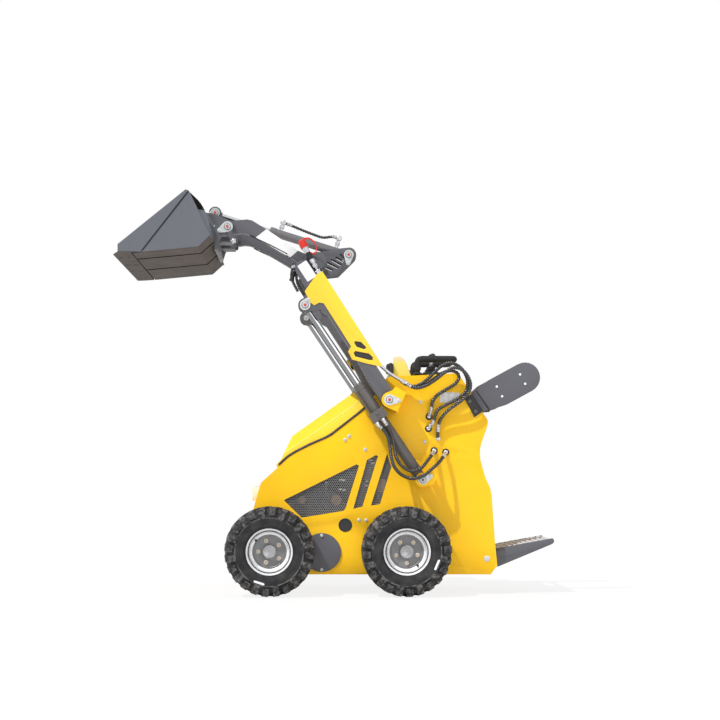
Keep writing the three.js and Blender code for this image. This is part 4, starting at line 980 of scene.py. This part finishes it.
# ---- small plates of the lift arms, painted shade behind the cover slots, painted highlights on the hood's creases
GUSSET = rounded([(-133, 1474), (-105, 1478), (-80, 1425), (-90, 1413), (-110, 1413), (-132, 1445)], 6)
COVER_SHADE_OUTLINE = [(72, 1298), (132, 1302), (196, 1212), (186, 1194), (82, 1206)]
make("lug_gussets", flanks(GUSSET, 345, 358), SLATE, "boom", bevel=1.5)
# Painted shade: a dark sheet behind the arm cover's slots, so that the slots read as shaded.
make("cover_painted_shade", flanks(COVER_SHADE_OUTLINE, 357, 360.8), SHADE, "boom", bevel=0.8)
hood_slope = radians(35)
HOOD_LINE = ((-80, 806), (cos(hood_slope), sin(hood_slope)))
# Painted highlights: thin pale yellow rods along the hood's creases.
crease_highlights = [rod(*(at_y(on_line(HOOD_LINE, along, 46.6), side * 244.2) for along in (-204, 268)), 2.2, 12, 1)
         for side in BOTH]
make("hood_painted_crease_highlights", crease_highlights, FIN, "hood", slot="body_yellow")

# ---- engine behind the grilles
block = [box((-236, 196), (-186, 186), (292, 606)), box((-178, 148), (-148, 148), (140, 300))]
block += [box((-230 + 48 * k, -214 + 48 * k), (-192, 192), (300, 600)) for k in range(9)]
for side in BOTH:
    block.append(boss([(0, 150), (98, 150), (103, 155), (103, 206), (98, 212), (80, 212), (78, 208), (0, 208)],
                      (-60, 430), 0, side, 48))
    block += [box((x, x + 9), (side * 186, side * 216), (420, 470)) for x in (60, 84, 108, 132)]
    block.append(boss([(0, 150), (24, 150), (24, 246), (20, 250), (19, 250), (19, 170), (0, 170)], EXHAUST, 0, side,
                      32))
make("engine_block", block, ENGINE, "chassis", ("engine",), bevel=2)

# ---- pipes behind the left arm, with couplers and caps
pipes = []
mouth = at_y([a - b for a, b in zip(PIPES[-2], PIPES[-1])], 0)
for y in (-345, -325, -305):
    pipes.append(tube(bend([at_y(p, y) for p in PIPES], 24, 1), 6.6, 16))
    for profile, segments in (([(6.5, -1), (11, -1), (11.6, 1), (11.6, 15), (10.6, 17), (6.5, 17)], 6),
                              ([(6.5, 17), (9.6, 17), (9.6, 24), (6.5, 26)], 24)):
        pipes.append(turned(profile, at_y(PIPES[-1], y), mouth, segments))
for along in (ARM - 60, 450, 220):
    clamp = [on_arm(along + da, f) for da, f in ((-13, -45.5), (13, -45.5), (13, -67), (-13, -67))]
    pipes.append(slab(clamp, -358, -292))
make("arm_pipes_bent", pipes, ZINC, "boom", ("arm_pipes",), bevel=0.6)
COUPLER = (([(6, 0), (12, 0), (13.5, 1.5), (13.5, 17), (12, 18.5), (6, 18.5)], 6),
           ([(8, 18), (10, 18), (10, 25), (14, 26), (15, 28), (15, 44), (13, 46), (8, 46)], 28),
           ([(8, 84), (12, 84), (15, 86), (15, 94), (13.5, 95), (13.5, 100), (15.5, 101), (15.5, 114), (8, 116)], 28))
SLEEVE = [(12.2 + k % 2 * 1.4, h + 4 * k) for k in range(10) for h in (45, 48.4)]
DUST_CAP = [(r, h + 5.2 * k) for k in range(7) for r, h in ((20, 116), (20, 119.6), (17.8, 120), (17.8, 121))]
LANYARD = ((0, 0, 0), (14, -10, 14), (40, -16, 14), (66, -14, -8), (76, -10, -36), (66, -4, -62))
couplers, sleeves, caps = [], [], []
(x0, z0), (x1, z1) = on_arm(0, 0), on_arm(110, -9.5)
lean = Vector((x1 - x0, 0, z1 - z0)).normalized()
for y in (-345, -318):
    foot = Vector(at_y(on_arm(ARM - 30, -57), y))
    couplers += [turned(profile, foot, lean, segments) for profile, segments in COUPLER]
    sleeves.append(turned([(9, 45)] + SLEEVE + [(9, 85)], foot, lean, 28))
    caps.append(turned([(13.5, 114)] + DUST_CAP + [(17, 153), (12, 158), (0, 159)], foot, lean, 28))
    loop = [foot + lean * 150 + Vector(d) for d in LANYARD] + [foot + lean * 92 + Vector((15, 0, -4))]
    caps.append(tube(smooth_path(loop, 4), 2.6, 8))
make("couplers", couplers, ZINC, "boom")
make("coupler_sleeves", sleeves, BLACK, "boom")
make("dust_caps", caps, RED, "boom")

# ---- controls
DECK, BAR_R, BAR_Y = 1138.6, 17.2, 190
UP = (0, 0, 1)
HANDLEBAR = ((417, 190, DECK + 4), (417, 190, 1178), (418, 190, 1204), (423, 190, 1214), (438, 190, 1218.5),
             (470, 190, 1219), (560, 190, 1219), (590, 189, 1219), (601, 184, 1219), (606, 172, 1219),
             (607, 150, 1219), (607, 0, 1219))
bars = [tube(side_path(HANDLEBAR, side, 5), BAR_R, 20, lambda far, turn: BAR_R - (4.4 if far < 16 else 0))
        for side in BOTH]
make("handlebar_foam", bars, FOAM, "chassis", ("controls",))
deck = [box((396, 566), (-211, 211), (DECK, DECK + 5)), box((452, 548), (-98, 98), (DECK + 4, DECK + 18))]
deck += [turned([(13, 5), (22, 5), (22, 9), (15, 11), (13, 11)], (417, s * BAR_Y, DECK), UP, 28) for s in BOTH]
deck += [turned([(0, 0), (7, 0), (7, 9), (5, 12), (0, 12)], (402, s * BAR_Y, 1180), (-1, 0, 0), 6) for s in BOTH]
make("control_deck", deck, BLACK, bevel=1.5)
BOOT = [(0, 16), (31, 16), (34, 19), (34, 24), (30, 27), (24, 29), (29, 33), (29, 37), (22, 40), (18, 42), (22, 46),
        (21, 50), (13, 53), (10, 58), (7, 62), (0, 62)]
LEVERS, LEVER_LEAN = (-60, 0, 60), (0.04, 0, 1)
knobs = [turned([(6, -16), (10, -15), (13, -9), (14, 0), (13, 9), (9, 15), (0, 17.5)], (504.5, y, 1242), LEVER_LEAN,
                28) for y in LEVERS[::2]]
knobs += [turned([(7, -26), (12, -25), (14, -14), (13.4, 0), (15, 8), (14.5, 12), (0, 14)], (503, 0, 1241),
                 (-0.12, 0, 1), 28),
          slab(rounded([(486, 1244), (488, 1257), (500, 1258), (560, 1240), (590, 1236), (560, 1229), (505, 1232)], 5),
               -15, 15)]
make("lever_boots", [turned(BOOT, (497, y, DECK - 1), LEVER_LEAN, 32) for y in LEVERS], BLACK)
make("control_levers", [rod((499, y, DECK + 58), (504, y, 1238), 5, 16) for y in LEVERS], ZINC)
make("control_knobs", knobs, BLACK, bevel=1.5)
fins = [box((270, 297), (-60, 60), (1155, 1205))]
fins += [box((263, 271), (-58 + 12.9 * k, -53 + 12.9 * k), (1157, 1203)) for k in range(10)]
fins += [box((276, 290), (-56 + 22 * k, -46 + 22 * k), (1204, 1209)) for k in range(6)]
make("work_lamp", fins, BLACK, bevel=1.5)
make("work_lamp_stem", [rod((277, y, 1118), (277, y, 1156), 6, 20, 1) for y in (-38, 38)]
     + [turned([(6, 0), (11, 0), (11, 8), (9, 10), (6, 10)], (277, y, 1136), UP, 6) for y in (-38, 38)], ZINC)

# ---- plates, film and fittings on the outside
BARE = [(-424, 1846), (-369, 1889), (-205, 1778), (-247, 1742)]
LABEL_LINE = ((-158, 1655), ARM_LINE[1])
LABEL = rounded([on_line(LABEL_LINE, a, f) for a, f in ((-48, -27), (48, -27), (48, 27), (-48, 27))], 4)
DATA_PLATE = rounded([(527, 990), (629, 986), (628, 1040), (529, 1044)], 4)
for side_name, side in SIDES:
    make(f"arm_film_{side_name}", [flank(LABEL, side, ARM_FACE, ARM_FACE + 0.8),
                                   flank(BARE, side, UPPER_FACE + 0.1, UPPER_FACE + 0.9)], WHITE, "boom")
    make(f"data_plate_{side_name}", flank(DATA_PLATE, side, PANEL, PANEL + 0.8), FOIL)
fittings = []


def port_fitting(at, side, shoulder):
    """A hexagon nut on a stem, screwed into a port."""
    nut = [(0, -22), (9, -22), (9, shoulder), (12, shoulder + 1), (12, 12), (9, 14), (0, 14)]
    return boss(nut, at, PORT_FACE, side, 6)


for x, z in UPPER_PORTS:
    fittings += [port_fitting((x, z), -1, 2),
                 rod((x, -276, z), (x + 8, -286, z + 24), 7.5, 20, 1)]
fittings.append(boss([(0, 0), (13, 0), (13, 8), (9, 10), (9, 16), (0, 16)], (517, 804), PANEL, -1, 6))
fittings += [port_fitting(at, side, 3) for side in BOTH for at in LOWER_PORTS]
make("port_fittings", fittings, ZINC, bevel=0.5)
LOCK = (-538, 1824)
star = [polar(LOCK, 16 if k % 2 else 11, 36 * k) for k in range(10)]
make("attach_lock_knobs", [slab(star, -256, -266), boss([(8, 0), (8, 8), (5, 10), (0, 10)], LOCK, 266, -1, 16)],
     ZINC, "bucket", bevel=0.6)
make("latch_plates", slab(link((-556, 1862), 13, LOCK, 13, 8), -249, -256), SLATE, "bucket", bevel=1)
make("drain_plug", turned([(0, 0), (9, 0), (9, 10), (7, 13), (0, 13)], (-91, -200, 113), (0, 0, -1), 6), ZINC)
FIN_CAP = [(299.5, 1222), (298.8, 1240), (304, 1246.4), (334, 1246.4), (349.5, 1238.2), (364, 1221)]
make("fin_cap", slab(FIN_CAP, -8.7, 8.7), CREAM, bevel=1.5)

# ---- lines along the upper arm and the elbow
ARM_LINE_HOSE = [(-268, -237, 1752), (-254, -240, 1742), (-243, -256, 1730), (-236, -272, 1716), (-230, -280, 1702),
                 (-224, -281, 1692)]
ELBOW_FLEXES = ([(-222, -281, 1686), (-218, -282, 1670), (-214, -283, 1650), (-212, -283, 1626), (-206, -284, 1598),
                 (-190, -284, 1568), (-168, -284, 1532)],
                [(-232, -281, 1682), (-236, -282, 1664), (-238, -283, 1642), (-235, -284, 1620), (-222, -284, 1590),
                 (-205, -284, 1560)])
COUPLING = [(0, 0), (13, 0), (15, 3), (15, 22), (11, 26), (11, 40), (13, 42), (13, 52), (0, 54)]
EDGE_SHADE_LINE = ((-454, 1857), (-420, 1840), (-340, 1802), (-262, 1761))
make("arm_lines", [turned([(4, 0), (8.5, 0), (8.5, 14), (4, 14)], (x, -281, z), (dx, 0, -1), 6)
                   for x, z, dx in ((-223, 1696, 0.1), (-232, 1692, 0))], ZINC, "boom", angle=40)
make("arm_line_hose", tube(smooth_path(ARM_LINE_HOSE, 6), 5, 12, wrapped(5)), HOSE, "boom", angle=0)
make("elbow_flexes", [tube(smooth_path(f, 4), 8, 14, wrapped(8)) for f in ELBOW_FLEXES], HOSE, "boom", angle=0)
make("elbow_coupling", turned(COUPLING, (-227, -284, 1664), (-0.2, 0, -0.95), 24), BLACK, "boom", bevel=1)
make("guard_pivots", [rod((771, side * 204, 949), (771, side * 262, 949), 9, 20, 1) for side in BOTH], BLACK)
# Painted shade: a near-black line along the upper arm's edge, by the white film's lower edge.
make("arm_edge_painted_shade", [tube(side_path([at_y(p, UPPER_FACE + 0.4) for p in EDGE_SHADE_LINE], side, 5), 2.6, 10)
                    for side in BOTH], SHADE_BLACK, "boom")

# ---- floor, light and view
SHADOW_FADE, GLOSSY_SHARE, AMBIENT = 0.85, 0.5, 0.60


def lit_floor():
    """Plain white floor: it takes the object's shadow, and reads as white to the camera."""
    material = bpy.data.materials.new("studio_floor")
    material.use_nodes = True
    tree = material.node_tree
    tree.nodes.clear()
    diffuse = new_node(tree, "BsdfDiffuse", {"Color": (0.8, 0.8, 0.8, 1)})
    glow = new_node(tree, "Emission", {"Color": (1, 1, 1, 1)})
    seen = new_node(tree, "LightPath").outputs["Is Camera Ray"]
    share = new_node(tree, "Math", {0: seen, 1: SHADOW_FADE}, operation="MULTIPLY")
    mix = new_node(tree, "MixShader", {0: share.outputs[0], 1: diffuse.outputs[0], 2: glow.outputs[0]})
    new_node(tree, "OutputMaterial", {"Surface": mix.outputs[0]})
    return material


bpy.ops.mesh.primitive_plane_add(size=60, location=(0, 0, -0.0005))
floor = bpy.context.object
floor.name = "studio_floor"
floor.data.materials.append(lit_floor())

world = bpy.data.worlds.new("studio")
bpy.context.scene.world = world
world.use_nodes = True
tree = world.node_tree
rays = new_node(tree, "LightPath").outputs
glossy = new_node(tree, "Math", {0: rays["Is Glossy Ray"], 1: GLOSSY_SHARE}, operation="MULTIPLY")
seen = new_node(tree, "Math", {0: rays["Is Camera Ray"], 1: glossy.outputs[0]}, operation="MAXIMUM")
strength = new_node(tree, "MapRange", {"Value": seen.outputs[0], "To Min": AMBIENT, "To Max": 1.0})
fill(tree.nodes["Background"], {"Color": (1, 1, 1, 1), "Strength": strength.outputs[0]})


def lamp(name, kind, energy, place, target):
    obj = added(name, bpy.data.lights.new(name, kind))
    obj.data.energy = energy
    obj.location = place
    obj.rotation_euler = (Vector(target) - Vector(place)).to_track_quat("-Z", "Y").to_euler()
    return obj.data


lamp("key", "SUN", 2.6, (-3.0, -2.6, 5.8), (0, 0, 0)).angle = radians(0.8)
fill_lamp = lamp("fill", "AREA", 60, (2.5, -6.5, 2.2), (0, 0, 1))
fill_lamp.shape = "DISK"
fill_lamp.size = 4
bpy.context.scene.view_settings.view_transform = "Standard"
